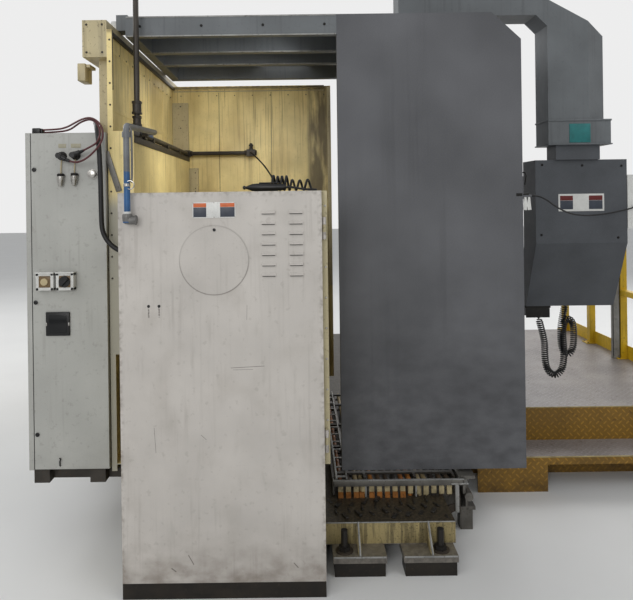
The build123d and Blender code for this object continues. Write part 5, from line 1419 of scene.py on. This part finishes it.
@dataclass
class Dresser:
    """The finish of every node that stays as the model has it."""

    finishes: dict[Finishes, str] = field(
        default_factory=lambda: {
            Finishes.BED: "bed",
            Finishes.BLACK_METAL: "levelling_feet plinth",
            Finishes.HOUSING: "cover_housing",
            Finishes.COVER: "end_cover",
            Finishes.PLATE: "round_cover_plate",
            Finishes.CAST: "headstock_case carriage cross_slide tailstock",
            Finishes.STEEL: "spindle_bearings spindle chuck_body chuck_jaw_1 chuck_jaw_2 chuck_jaw_3 ball_screw "
            "turret_head quill live_centre",
            Finishes.IRON: "drive_motor motor_pulley cable_carrier cabinet_base air_pipe",
            Finishes.GUARD: "rear_guard cross_guard",
            Finishes.CREAM_METAL: "corner_covers rear_rail",
            Finishes.RAIL: "front_rail",
            Finishes.CABLES: "carrier_cables",
            Finishes.ORANGE: "cable_clamps",
            Finishes.CABINET: "cabinet_body cabinet_end_panel",
            Finishes.BLACK: "cabinet_fittings main_switch handset blow_gun",
            Finishes.BEIGE: "start_button",
            Finishes.HOOD: "hood_end_panel hood_front hood_door",
            Finishes.BEAM: "hood_frame boom",
            Finishes.GLASS: "hood_window",
            Finishes.PENDANT: "pendant_case",
            Finishes.SCREEN: "pendant_face",
            Finishes.RED: "e_stop",
            Finishes.WHITE: "side_box",
            Finishes.OCHRE: "platform",
            Finishes.SAFETY: "railing",
            Finishes.LEG: "leg_pipe",
            Finishes.BLUE: "valve_handle",
            Finishes.RUBBER: "drive_belt air_hose hose_coil curly_cord pendant_cord cabinet_leads black_hose",
        }
    )
    rounded: dict[str, float] = field(
        default_factory=lambda: {
            "pendant_case": 5, "boom": 4, "side_box": 4, "railing": 3, "handset": 6, "tailstock": 5,
            "carriage": 4, "cabinet_end_panel": 2, "levelling_feet": 2,
        }
    )
    same_point: float = 0.00002
    bevel_angle: float = 40.0

    def round_edges(self, thing: bpy.types.Object, width: float) -> None:
        """Rounds a node's edges.

        Args:
            thing: The node.
            width: Width of the rounding in millimetres.
        """
        weld = thing.modifiers.new("weld", "WELD")
        weld.merge_threshold = self.same_point
        bevel = thing.modifiers.new("rounding", "BEVEL")
        bevel.width = width / 1000
        bevel.segments = 3
        bevel.limit_method = "ANGLE"
        bevel.angle_limit = math.radians(self.bevel_angle)
        bevel.harden_normals = True

    def build(self) -> None:
        """Gives each node its material, and rounded edges where they show."""
        chosen = {name: finish for finish, names in self.finishes.items() for name in names.split()}
        for name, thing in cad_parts.items():
            material = chosen[name].made()
            if not thing.material_slots:
                thing.data.materials.append(material)
            for holder in thing.material_slots:
                holder.material = material
            if name in self.rounded:
                self.round_edges(thing, self.rounded[name])
            LOG.info("%s is finished as %s", name, material.name)


@dataclass(frozen=True)
class Sign:
    """The place of a sign: a white plate with two plain fields under coloured headers."""

    name: str
    body: str
    plate: tuple[Span, Span, Span]
    depth: Span
    fields: tuple[Span, ...]
    heads: Span
    darks: Span
    header: Finishes
    bevels: Span

    def build(self) -> None:
        """Makes the plate, its headers and its fields."""
        Shape().box(*self.plate, self.bevels[0]).place(self.name, Finishes.WHITE, self.body)
        for label, height, finish in (("heads", self.heads, self.header), ("fields", self.darks, Finishes.SIGN_DARK)):
            shape = Shape()
            for span in self.fields:
                shape.box(self.depth, span, height, self.bevels[1])
            shape.place(f"{self.name}_{label}", finish, self.body)


@dataclass
class EndCoverTrim:
    """The end cover's sign place, painted shade of its louvre slots, key holes, flange screws and hinge leaves."""

    sign: Sign = Sign(
        "cover_sign", "machine", ((-1.6, 0.2), (-89, 85), (1532, 1596)), (-2, -1),
        ((29, 81), (-85, -27)), (1576, 1592), (1536, 1575), Finishes.SIGN_ORANGE, (0.5, 0.3),
    )
    rivet_rows: tuple[Point, ...] = ((-1.6, -86, 1535), (-1.6, -86, 1593))
    rivet_step: Point = (0, 84, 0)
    louvre_columns: tuple[float, ...] = (-220, -331)
    louvre_rows: int = 7
    louvre_top: float = 1547.0
    louvre_pitch: float = 41.7
    louvre_width: float = 52.0
    plug: Span = (-2, 1484)
    hinges: tuple[float, ...] = (618, 1484)

    def rivets(self) -> None:
        """The rivets of the sign's plate."""
        shape = Shape()
        for start in self.rivet_rows:
            shape.screws(row(start, self.rivet_step, 3), FORWARD, 2.4)
        shape.place("cover_sign_rivets", Finishes.STEEL)

    def louvres(self) -> None:
        """A black box under each pressed louvre: painted shade of its slot."""
        # Each black box is painted shade for the dark opening under a louvre's hood.
        slots = Shape()
        for column in self.louvre_columns:
            for number in range(self.louvre_rows):
                low = self.louvre_top - number * self.louvre_pitch
                slots.box((-5.6, -0.2), around(column, self.louvre_width), (low - 2.6, low + 0.4), 0.6)
        slots.place("louvre_slot_shades", Finishes.BLACK_METAL)

    def details(self) -> None:
        """Key holes, the plate's dark plug, the screws of the flange and the hinges."""
        holes = Shape()
        for y in KEY_HOLES:
            holes.turned((0.4, y, KEY_HEIGHT), (-1, y, KEY_HEIGHT), [(0, 6), (1.2, 6), (1.2, 3.2), (0.6, 3)], 20)
        y, z = self.plug
        holes.turned((-2.8, y, z), (-9, y, z), [(0, 6.4), (1.6, 6.4), (3.2, 4.5), (3.2, 0.5)], 20)
        holes.place("cover_plugs", Finishes.BLACK)
        fixings = Shape().screws(row((40, -450, 575), (0, 0, 125), 9), FORWARD, 4.5)
        fixings.screws(row((60, -437, 1600), (55, 0, 0), 5), RIGHT)
        fixings.place("flange_screws", Finishes.STEEL)
        leaves = Shape()
        for height in self.hinges:
            leaves.box((28, 37.5), (-437, -434.6), around(height, 74), 1)
        leaves.place("hinge_leaves", Finishes.STEEL)

    def build(self) -> None:
        """Makes the trim."""
        self.sign.build()
        self.rivets()
        self.louvres()
        self.details()


@dataclass
class PipeTrim:
    """Fittings, clips and the thin line of the air pipes, and the bars beside them."""

    leg: Span = (-40, 336)
    drop: Span = (474, 422)
    run_z: float = 1930.0
    end_x: float = 1833.0
    drop_nuts: tuple[Point, ...] = ((1962, 1974, 24), (1998, 2011, 23), (2018, 2030, 25), (2068, 2081, 25))
    run_nuts: tuple[float, ...] = (518, 536, 592, 1803)
    cross_nuts: tuple[float, ...] = (392, 18, -52)
    nut_half: float = 7.0
    elbow: tuple[Span, ...] = ((0, 18), (4, 20), (16, 20), (28, 19), (37, 15), (41, 7))
    elbow_z: float = 1529.0
    clip: tuple[float, float, float] = (-14, 1668, 17)
    thin_line: tuple[Point, ...] = (
        (-38, 324, 1896), (-38, 318, 1888), (-38, 316, 1872), (-38, 315.5, 1780), (-39, 316, 1700),
        (-43, 317, 1684), (-48, 316, 1680),
    )
    ledge_x: Span = (382, 1858)
    bar_tilt: float = -17.5

    def fittings(self) -> None:
        """Hexagon nuts and swept bodies over the plain couplings."""
        x, y = self.drop
        end, z, half = self.end_x, self.run_z, self.nut_half
        shape = Shape()
        for low, high, radius in self.drop_nuts:
            shape.rod((x, y, low), (x, y, high), radius, 2, 6)
        for middle in self.run_nuts:
            shape.rod((middle - half, y, z), (middle + half, y, z), 21, 2, 6)
        for middle in self.cross_nuts:
            shape.rod((end, middle - half, z), (end, middle + half, z), 20, 2, 6)
        shape.turned((end, -20, 1976), (end, -20, 2000), [(0, 16), (10, 16), (14, 9), (20, 9)], 20)
        shape.rod((end - 20, -20, z), (end - 30, -20, z), 11, 1.5, 6)
        shape.rod((x, y - 26, z), (x, y - 52, z), 19, 2, 6)
        shape.place("pipe_fittings", Finishes.IRON)

    def leg_pieces(self) -> None:
        """The leg's end elbow, white collar, spring clip and thin second line."""
        x, y = self.leg
        elbow = Shape().turned((x, y, 1554), (x, y, 1500), self.elbow, 28)
        elbow.rod((x, y - 4, self.elbow_z), (x, y - 30, self.elbow_z), 17.6, 1)
        elbow.rod((x, y - 28, self.elbow_z), (x, y - 38, self.elbow_z), 19, 2, 8)
        elbow.place("leg_elbow", Finishes.GREY_IRON)
        Shape().rod((x, y, 1553), (x, y, 1563), 14.5, 1).place("leg_collar", Finishes.WHITE)
        aside, z, radius = self.clip
        angles = [0.45 * step for step in range(1, 13)]
        ring = [(x - 9, y + aside + radius * math.cos(turn), z + radius * math.sin(turn)) for turn in angles]
        clip = Shape().tube(ring, 2.4, 8).rod((x, y, z - 6), (x, y, z + 6), 14.2, 1)
        clip.place("leg_clip", Finishes.STEEL)
        Shape().tube(self.thin_line, 4.6, 12).place("thin_line", Finishes.GREY_IRON)

    def bars(self) -> None:
        """The dark angle under the wall pipe and the flat bar beside the hose."""
        angle = Shape().box(self.ledge_x, (409, 413.8), (1876, 1909), 1)
        angle.box(self.ledge_x, (409, 428), (1905.2, 1909), 1).place("ledge_angle", Finishes.IRON)
        turn = Matrix.Rotation(math.radians(self.bar_tilt), 4, "X")
        flat = Shape().box((362, 367.5), around(510, 27), (1646, 1838), 1.2, turn)
        flat.place("diagonal_bar", Finishes.RAIL)

    def build(self) -> None:
        """Makes the trim."""
        self.fittings()
        self.leg_pieces()
        self.bars()


@dataclass
class GuardTrim:
    """Seams, folds, brackets and screws of the tall guards."""

    inner_y: float = 528.0
    edge_x: float = 369.8
    cross_x: float = 1893.0
    long_seams: tuple[float, ...] = (2316, 2040)
    upright_seams: tuple[float, ...] = (760, 1180, 1560)
    folds: tuple[Span, ...] = ((2389, 6), (2368, 3))
    cross_seams: tuple[float, ...] = (205, -160)
    rail_bolts: tuple[float, ...] = (2292, 2420)

    def rear_side(self) -> None:
        """The rear guard's seam strips, top bracket and edge screws."""
        y = self.inner_y
        strips = Shape()
        for height in self.long_seams:
            strips.box((376, 1890), (y - 1.8, y + 0.5), around(height, 22), 0.6)
        for x in self.upright_seams:
            strips.box(around(x, 26), (y - 1.6, y + 0.5), (1906, 2390), 0.6)
        strips.place("guard_strips", Finishes.GUARD)
        bracket = Shape().box((374, 1888), (y - 15, y - 0.4), (2377, 2396), 1.5)
        bracket.box((374, 384), (y - 22, y - 0.4), (2120, 2396), 1.5)
        bracket.place("guard_bracket", Finishes.IRON)
        screws = Shape().screws(row((self.edge_x, y - 9, 1250), (0, 0, 100), 12), FORWARD, 4.5)
        screws.screws(row((430, y - 1.6, 2316), (125, 0, 0), 12), RIGHT, 4.5)
        screws.screws(row((self.edge_x, 424, 960), (0, 0, 220), 5), FORWARD, 5)
        screws.place("guard_screws", Finishes.IRON)

    def cross_side(self) -> None:
        """The cross guard's folded lip, seams and screws."""
        x = self.cross_x
        folds = Shape()
        for height, reach in self.folds:
            folds.box((x - reach, x + 0.5), (-528, 522), around(height, 7), 1)
        folds.box((x - 2.2, x + 0.5), (-576, -552), (1000, 2390), 0.8)
        folds.place("cross_folds", Finishes.CREAM_METAL)
        seams = Shape()
        for y in self.cross_seams:
            seams.box((x - 1.4, x + 0.5), around(y, 3), (1640, 2360), 0.3)
        seams.place("cross_seams", Finishes.SOOT)
        screws = Shape().screws(row((x, 470, 2338), (0, -125, 0), 9), FORWARD)
        screws.screws([(x - 30.2, 372, z) for z in (1668, 1690, 1798)], FORWARD)
        screws.screws(row((x - 30.2, 470, 1960), (0, 0, 150), 3), FORWARD, 4.5)
        screws.place("cross_screws", Finishes.IRON)

    def rail_end(self) -> None:
        """The rear rail's open end with its edge, and the second short rail beside it."""
        cap = Shape().box((368.8, 371), (540, 636), (2279, 2433), 0.8)
        cap.place("rail_end_plate", Finishes.CREAM_METAL)
        second = Shape().box((420, 520), (648, 686), (2171, 2254), 4)
        second.box((428, 512), (628, 650), (2236, 2250), 1.5).place("second_rail", Finishes.CREAM_METAL)
        ends = Shape()
        for height in self.rail_bolts:
            ends.screws(row((368.8, 552, height), (0, 72, 0), 2), FORWARD, 5.5, 6)
        ends.place("rail_end_bolts", Finishes.IRON)

    def build(self) -> None:
        """Makes the trim."""
        self.rear_side()
        self.cross_side()
        self.rail_end()


@dataclass
class HoodTrim:
    """Rollers, hook tags, roof edges, the door's track and gasket."""

    roller_x: tuple[float, ...] = (624, 1656)
    rollers_yz: tuple[Span, ...] = ((546, 2473.3), (-1149, 295.3))
    tyre: tuple[Span, ...] = ((-0.6, 28), (0, 31.5), (3, 32.9), (27, 32.9), (30, 31.5), (30.6, 28))
    front_face: float = -1437.0
    hook: tuple[Point, ...] = ((553, -1441, 1720), (553, -1452, 1722), (553, -1458, 1704), (553, -1452, 1660))
    tags: tuple[Span, ...] = ((-1452, 7), (-1468, -6))
    ribs: tuple[float, ...] = (890, 1203)
    beam_edges: tuple[Span, ...] = ((2404.6, 2411), (2497, 2504.4))
    opening: tuple[Span, Span, Span] = ((1380, 1632), (-406, -90), (2496, 2505.5))
    bolt_columns: tuple[float, ...] = (560, 1690)
    tracks: tuple[Span, ...] = ((2116, 2144), (424, 444))

    def rollers(self) -> None:
        """White tyres with dark hubs on all four rollers."""
        tyres, hubs = Shape(), Shape()
        for x in self.roller_x:
            for y, z in self.rollers_yz:
                tyres.turned((x, y, z), (x, y + 1, z), self.tyre)
                hubs.rod((x, y - 5, z), (x, y + 35, z), 12, 2, 6)
        tyres.place("roller_tyres", Finishes.WHITE, "hood")
        hubs.place("roller_hubs", Finishes.IRON, "hood")

    def cord_hook(self) -> None:
        """The cord's hook on the panel's edge, with its two pale tags and the clamp."""
        rod = Shape().tube(self.hook, 3.2).rod((553, -1428, 1612), (553, -1470, 1612), 7.5, 2)
        rod.box((538, 542), (-1434, -1404), around(1612, 14), 2).place("hook_clamp", Finishes.BLACK_METAL, "hood")
        tags = Shape()
        for y, tilt in self.tags:
            turn = Matrix.Rotation(math.radians(tilt), 4, "X")
            tags.box((546.5, 549.5), around(y, 19), (1536, 1602), 1.4, turn)
        tags.place("hook_tags", Finishes.WHITE, "hood")

    def frame_lines(self) -> None:
        """Folded edges along the roof's ribs and beam, and the panel's fixings."""
        edges = Shape()
        for x in self.ribs:
            edges.box((x - 3, x + 1), (-1290, 486), (2404.4, 2412), 0.8)
        for z in self.beam_edges:
            edges.box((537.4, 541), (-536, 488), z, 0.8)
        edges.place("roof_edges", Finishes.LIGHT_GREY, "hood")
        Shape().rim(self.opening, 2, 4, 1).place("roof_opening_rim", Finishes.CREAM_METAL, "hood")
        bolts = Shape().screws(row((539.8, 420, 2456), (0, -300, 0), 4), FORWARD, 7, 6)
        for x in self.bolt_columns:
            bolts.screws(row((x, self.front_face, 420), (0, 0, 480), 4), RIGHT, 5)
            bolts.screws([(x, self.front_face, 2300)], RIGHT, 5)
        bolts.place("hood_bolts", Finishes.BLACK_METAL, "hood")

    def door(self) -> None:
        """The door's tracks on the hood, and its gasket, rim and handle grip."""
        y = self.front_face
        track = Shape()
        for z in self.tracks:
            track.box((1082, 1668), (y - 20, y + 0.4), z, 2.5)
        track.place("door_tracks", Finishes.BEAM, "hood")
        gasket = Shape().rim(((1202, 1518), (y - 18.5, y - 13.5), (1242, 1808)), 1, 12, 2)
        gasket.place("window_gasket", Finishes.RUBBER, "hood_door")
        rim = Shape().rim(((1081, 1639), (y - 17.2, y - 13.8), (452, 2108)), 1, 6, 1.2)
        rim.place("door_rim", Finishes.HOOD, "hood_door")
        grip = y - 40.3
        profile = [(0, 9.8), (6, 11), (238, 11), (244, 9.8)]
        bar = Shape().turned((1110, grip, 1178), (1110, grip, 1422), profile)
        bar.place("door_grip", Finishes.BLACK, "hood_door")

    def build(self) -> None:
        """Makes the trim."""
        self.rollers()
        self.cord_hook()
        self.frame_lines()
        self.door()


@dataclass
class BayTrim:
    """The cable bay's front bar, plates and dividers, and the base's edges."""

    bar_x: Span = (461, 473.6)
    bar_y: Span = (-1112, -489)
    cheeks: tuple[Span, ...] = ((-1118, -1106), (-495, -487.5))
    dividers: tuple[float, ...] = (-884, -645)
    gusset: tuple[Span, ...] = ((-1092, 150), (-1092, 118), (-960, 60), (-948, 66), (-1013, 128))
    rack_x: Span = (480, 1850)
    rungs: int = 12
    rung_pitch: float = 110.0
    cables: int = 15
    pad_ribs: tuple[float, ...] = (-893, -585)
    pads: tuple[Span, ...] = ((-1001, -770), (-698, -470))
    studs: tuple[float, ...] = (-935, -521)
    scraps: int = 26

    def front(self) -> None:
        """The bar in front of the cables, its cheeks and the dividers."""
        bar = Shape().box(self.bar_x, self.bar_y, (235, 261), 1.5)
        for y in self.cheeks:
            bar.box((461, 506), y, (196, 261), 1.5)
        bar.place("bay_bar", Finishes.RAIL)
        light = Shape().box((460, 474), self.bar_y, (261, 264), 0.8)
        light.box((455, 503), (-1132, -1050), (240, 247), 1.5)
        light.box((456, 470), (-1087, -1069), (108, 240), 1.5)
        for y in self.dividers:
            light.box((463, 476), around(y, 7), (183, 258), 1)
        light.place("bay_edges", Finishes.LIGHT_GREY)
        gusset = Shape().prism(self.gusset, (470, 478))
        gusset.box((470, 540), (-1096, -1084), (100, 190), 2).place("bay_gusset", Finishes.IRON)
        rack = Shape()
        for number in range(self.rungs):
            x = 500 + self.rung_pitch * number
            rack.box((x, x + 12), (-560, -502), (262, 268), 1.5)
        rack.box(self.rack_x, (-512, -502), (262, 272), 1.5)
        rack.box(self.rack_x, (-560, -552), (262, 270), 1.5).place("side_rack", Finishes.LIGHT_GREY)

    def markers(self) -> None:
        """Pale cable markers under the bar."""
        shape = Shape()
        for number in range(self.cables):
            y = CABLE_EDGE + CABLE_PITCH * (number + 0.5)
            shape.box((468.5, 473.4), around(y, 25), (189 + number % 3 * 3, 234 - number % 2 * 2), 2.4)
        shape.place("cable_markers", Finishes.MARKER)

    def base(self) -> None:
        """Pale rib edges and lips of the foot pads, washers and the ledge's oily scraps."""
        edges = Shape()
        for y in self.pad_ribs:
            edges.tube([(233, y, 183), (135, y, 87)], 4.5, 4)
        for low, high in self.pads:
            edges.box((130.6, 133), (low + 2, high - 2), (80, 87.2), 0.8)
        edges.box((231.4, 234), (-1011, -436), (178, 183.2), 1)
        edges.place("base_edges", Finishes.LIGHT_GREY)
        washers = Shape()
        for y in self.studs:
            washers.turned((181, y, 86), (181, y, 90), [(0.2, 38), (5, 38), (6, 36)], 28)
        washers.place("foot_washers", Finishes.IRON)
        scraps = Shape()
        for number in range(self.scraps):
            x = 262 + 15 * (number * 7 % 11)
            y = -990 + 20.5 * number
            length, width, height = 34 + 6 * (number % 4), 9 + number % 3 * 5, 3 + number % 5 * 2
            turn = Matrix.Rotation(0.5 * math.sin(number * 2.1), 4, "Z")
            scraps.box((x, x + length), (y, y + width), (181, 181 + height), 2, turn)
        scraps.place("ledge_scraps", Finishes.SOOT)

    def build(self) -> None:
        """Makes the trim."""
        self.front()
        self.markers()
        self.base()


@dataclass
class CabinetTrim:
    """Plug nuts, hanging caps, switch lids, tags and locks of the cabinet's end panel."""

    face: float = 350.0
    sockets: tuple[Span, ...] = ((734, 1814), (672, 1816))
    nut: tuple[Span, ...] = ((-0.5, 21), (4, 21), (5, 18.5), (20, 18.5), (22, 17), (30.5, 16.8))
    cap: tuple[Span, ...] = ((0, 12), (3, 15.5), (22, 15.5), (40, 13), (54, 8), (57, 3))
    cap_rim: tuple[Span, ...] = ((0, 13), (2, 16.4), (12, 16.4), (13, 14))
    strap: tuple[Point, ...] = ((345, 2, -18), (341, 4, -45), (341, 5, -72), (341, 4, -92))
    tags: tuple[Span, ...] = ((717, 752), (650, 695))
    knob: tuple[Span, ...] = ((-0.4, 22), (3, 22), (5, 17), (18, 19), (27, 18), (29, 12))
    clips: tuple[Span, ...] = ((709, 715), (811, 817))
    locks: tuple[float, ...] = (543, 1147, 1754)
    lock: tuple[Span, ...] = ((0, 10), (1.2, 10), (2.2, 8), (2.2, 3.4), (1, 3))
    hook: tuple[Point, ...] = ((349, 762, 398), (344, 762, 402), (343, 762, 420), (343, 758, 432), (343, 764, 436))
    switches: tuple[Span, ...] = ((809.5, 1245), (718.5, 1245))

    def plugs(self) -> None:
        """Knurled nuts round the sockets and their caps on straps."""
        nuts, straps, caps, mouths = Shape(), Shape(), Shape(), Shape()
        for y, z in self.sockets:
            nuts.turned((self.face, y, z), (self.face - 1, y, z), self.nut, 14)
            straps.tube([(x, y + aside, z + above) for x, aside, above in self.strap], 2.6, 8)
            caps.turned((336, y + 4, z - 82), (336, y + 6, z - 140), self.cap, 24)
            mouths.turned((336, y + 4, z - 80), (336, y + 4, z - 100), self.cap_rim, 24)
        nuts.place("plug_nuts", Finishes.BLACK_METAL)
        straps.place("cap_straps", Finishes.BEIGE)
        caps.place("plug_caps", Finishes.STEEL)
        mouths.place("cap_rims", Finishes.BLACK_METAL)

    def panel(self) -> None:
        """Blank tags, silver knob, black insert, locks, hook, and a black strip in the panel's gap as painted shade.
        """
        tags = Shape()
        for y in self.tags:
            tags.box((348.6, 350.3), y, (1852, 1871), 0.5)
        tags.place("cabinet_tags", Finishes.TAG)
        knob = Shape().turned((350, 596, 1731), (300, 596, 1731), self.knob)
        knob.place("cabinet_knob", Finishes.STEEL)
        Shape().box((341.5, 349), (708, 818), (994, 1103), 6).place("insert_frame", Finishes.BLACK)
        Shape().box((340.6, 342.6), (722, 804), (1007, 1090), 0.8).place("insert_glass", Finishes.SCREEN)
        clips = Shape()
        for y in self.clips:
            clips.box((339.8, 342.6), y, around(1048, 14), 1)
        clips.place("insert_clips", Finishes.STEEL)
        locks = Shape()
        for z in self.locks:
            locks.turned((347.2, 864, z), (340, 864, z), self.lock, 24)
        # The thin black box in the panel's gap is painted shade, not a part.
        locks.tube(self.hook, 3, 8).box((351, 354), (878.4, 881.6), (384, 1917), 0.3)
        locks.place("cabinet_locks_and_gap_shade", Finishes.BLACK)

    def switch_lids(self) -> None:
        """White lids with brown insets round the button and the rotary switch."""
        lids, insets = Shape(), Shape()
        for y, z in self.switches:
            lids.rim(((313.4, 350), around(y, 80), around(z, 80)), 0, 14, 2)
            lids.box((308, 350), around(y, 84), (z + 37, z + 43), 1.5)
            insets.box((315.2, 317), around(y, 54), around(z, 54), 0.5)
        lids.place("switch_lids", Finishes.WHITE)
        insets.place("switch_insets", Finishes.BROWN)

    def build(self) -> None:
        """Makes the trim."""
        self.plugs()
        self.panel()
        self.switch_lids()


@dataclass
class PlatformTrim:
    """Nosing strips, post feet and the grey post of the operator's platform."""

    outer: float = -2796.0
    deck_z: float = 380.0
    first_post: float = 1198.0
    post_pitch: float = 513.0
    posts: int = 5
    bolt_half: float = 36.0
    grey_z: Span = (380, 1344)

    def build(self) -> None:
        """Makes the trim."""
        nosing = Shape().box((888.6, 894), (self.outer, -1298), (184, 190.8), 1.5)
        nosing.box((1128.6, 1134), (self.outer + 2, -1457), (374, 380.8), 1.5)
        nosing.place("step_nosing", Finishes.TREAD_EDGE)
        foot_y = (self.outer + 2, self.outer + 84)
        foot_top = self.deck_z + 8
        feet, bolts = Shape(), Shape()
        for number in range(self.posts):
            x = self.first_post + self.post_pitch * number
            feet.box(around(x, 92), foot_y, (self.deck_z, foot_top), 1.5)
            start = (x - self.bolt_half, self.outer + 68, foot_top)
            bolts.screws(row(start, (2 * self.bolt_half, 0, 0), 2), UP, 7, 6)
        feet.place("post_feet", Finishes.SAFETY)
        bolts.place("post_bolts", Finishes.IRON)
        post = Shape().box((2206, 2212), (-2742, -2690), self.grey_z, 1.5)
        for y in ((-2696, -2690), (-2742, -2736)):
            post.box((2206, 2238), y, self.grey_z, 1.5)
        post.place("grey_post", Finishes.LIGHT_GREY)


@dataclass
class PendantTrim:
    """The pendant's sign place, screws, screen surround, keys and knobs."""

    back: float = 950.0
    front: float = 1140.0
    sign: Sign = Sign(
        "pendant_sign", "pendant", ((948.2, 950.4), (-2029.5, -1777), (1518, 1614)), (947.6, 949),
        ((-1857, -1786), (-2020, -1945)), (1578, 1604), (1529, 1577), Finishes.DARK_RED, (0.8, 0.4),
    )
    screw_spots: tuple[Span, ...] = (
        (-1690, 1776), (-1911, 1770), (-2127, 1766), (-1682, 1389), (-2105, 1370),
    )
    surround_y: tuple[Span, ...] = ((-2118, -2102), (-1768, -1750))
    surround_z: tuple[Span, ...] = ((1420, 1436), (1758, 1774))
    key_rows: int = 3
    key_columns: int = 13
    first_key: Span = (-2096, 1400)
    key_step: Span = (27, -24)
    dials: tuple[float, ...] = (1500, 1590, 1680)
    dial: tuple[Span, ...] = ((-0.5, 24), (3, 24), (4, 17), (20, 15), (22, 12))
    collar: tuple[Span, ...] = ((-0.5, 29), (1, 29), (1.4, 28), (1.4, 24), (-0.4, 15.5))
    wheel: tuple[Span, ...] = ((-6, 42), (8, 42), (12, 38), (16, 38))
    side_knobs: tuple[float, ...] = (1500, 1650)
    side_knob: tuple[Span, ...] = ((-1, 24), (3, 24), (5, 20.8), (24.6, 20.8), (26, 18))
    holder_cheeks: tuple[Span, ...] = ((1126, 1132), (1198, 1204))

    def back_side(self) -> None:
        """Screws, the sign's place and the turquoise plate on the column."""
        spots = [(self.back, y, z) for y, z in self.screw_spots]
        Shape().screws(spots, FORWARD, 6.5).place("pendant_screws", Finishes.BLACK_METAL, "pendant")
        self.sign.build()
        plate = Shape().box((897.6, 900.4), (-1936, -1821), (1893, 1996), 1)
        plate.place("column_plate", Finishes.GREEN, "hood")
        band = Shape().box((894, 1086), (-2052, -1704), (2010, 2020), 2.5)
        band.box((892, 1088), (-2054, -1702), (1881, 1888), 2).place("column_bands", Finishes.BEAM, "hood")

    def operator_side(self) -> None:
        """The screen's surround, key field, dials, the stop button's collar and the feed wheel."""
        x = self.front
        surround = Shape()
        for y in self.surround_y:
            surround.box((x - 0.5, x + 9), y, (1422, 1772), 3)
        for z in self.surround_z:
            surround.box((x - 0.5, x + 9), (-2118, -1750), z, 3)
        surround.place("screen_surround", Finishes.GREY_PLASTIC, "pendant")
        keys = Shape()
        for number in range(self.key_rows * self.key_columns):
            line, column = divmod(number, self.key_columns)
            y = self.first_key[0] + self.key_step[0] * column
            z = self.first_key[1] + self.key_step[1] * line
            keys.box((x - 0.5, x + 4), around(y, 21), around(z, 17), 2)
        keys.place("pendant_keys", Finishes.WHITE, "pendant")
        dials = Shape()
        for z in self.dials:
            dials.turned((x, -1700, z), (x + 9, -1700, z), self.dial, 24)
        dials.place("pendant_dials", Finishes.BLACK, "pendant")
        collar = Shape().turned((x, -1712, 1382), (x + 9, -1712, 1382), self.collar, 32)
        collar.place("stop_collar", Finishes.SAFETY, "pendant")
        wheel = Shape().turned((1180, -1960, 1170), (1220, -1960, 1180), self.wheel, 36)
        wheel.rod((1196, -1930, 1176), (1224, -1930, 1183), 7, 2).place("feed_wheel", Finishes.BLACK, "pendant")

    def side(self) -> None:
        """Black knobs on the white side box, and the handset's holder."""
        knobs = Shape()
        for z in self.side_knobs:
            knobs.turned((1000, -2217, z), (1000, -2230, z), self.side_knob, 24)
        knobs.rod((1040, -2217, 1450), (1040, -2226, 1450), 11, 2).place("side_knobs", Finishes.BLACK, "pendant")
        holder = Shape().box((1122, 1206), (-1796, -1650), (956, 970), 3)
        for x in self.holder_cheeks:
            holder.box(x, (-1792, -1654), (900, 962), 2)
        holder.rod((1165, -1740, 912), (1165, -1740, 892), 12, 3)
        holder.place("handset_holder", Finishes.BLACK_METAL, "pendant")

    def build(self) -> None:
        """Makes the trim."""
        self.back_side()
        self.operator_side()
        self.side()


@dataclass
class WorkZone:
    """Bolts of the jaws and screws in the chuck's face."""

    chuck_face: float = 2082.3
    jaw_face: float = 2121.3
    bolt_radii: tuple[float, ...] = (188, 216)
    bolt: tuple[Span, ...] = ((-0.5, 10), (7, 10), (8, 9), (8, 5), (3, 4.8))
    screw_radius: float = 228.0
    screw: tuple[Span, ...] = ((-0.5, 9), (2, 9), (3, 7), (3, 3.5))

    def fixing(self, shape: Shape, x: float, radius: float, angle: float, profile: Sequence[Span]) -> None:
        """Adds a fixing that faces the tailstock.

        Args:
            shape: The shape that takes it.
            x: Place of the face that it stands on.
            radius: Its distance from the spindle's axis.
            angle: Its angle about the axis, from straight up.
            profile: Way out of the face and radius of each ring.
        """
        turn = math.radians(angle)
        y, z = -radius * math.sin(turn), AXIS_HEIGHT + radius * math.cos(turn)
        shape.turned((x, y, z), (x + 9, y, z), profile, 20)

    def build(self) -> None:
        """Makes the trim."""
        for number in range(3):
            bolts = Shape()
            for radius in self.bolt_radii:
                self.fixing(bolts, self.jaw_face, radius, 120.0 * number, self.bolt)
            bolts.place(f"jaw_bolts_{number + 1}", Finishes.BLACK_METAL, f"jaw_{number + 1}")
        rings = Shape()
        for number in range(6):
            self.fixing(rings, self.chuck_face, self.screw_radius, 60.0 * number + 30, self.screw)
        rings.place("chuck_screws", Finishes.BLACK_METAL, "spindle")


def main() -> None:
    """Builds the studio and every sub-assembly in order."""
    logging.basicConfig(level=logging.INFO, format="%(name)s: %(message)s")
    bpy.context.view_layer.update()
    parts = (
        Studio(), Cords(), Dresser(), EndCoverTrim(), PipeTrim(), GuardTrim(), HoodTrim(), BayTrim(), CabinetTrim(),
        PlatformTrim(), PendantTrim(), WorkZone(),
    )
    for part in parts:
        LOG.info("building %s", type(part).__name__)
        part.build()
    bpy.context.view_layer.update()


if __name__ == "__main__":
    main()
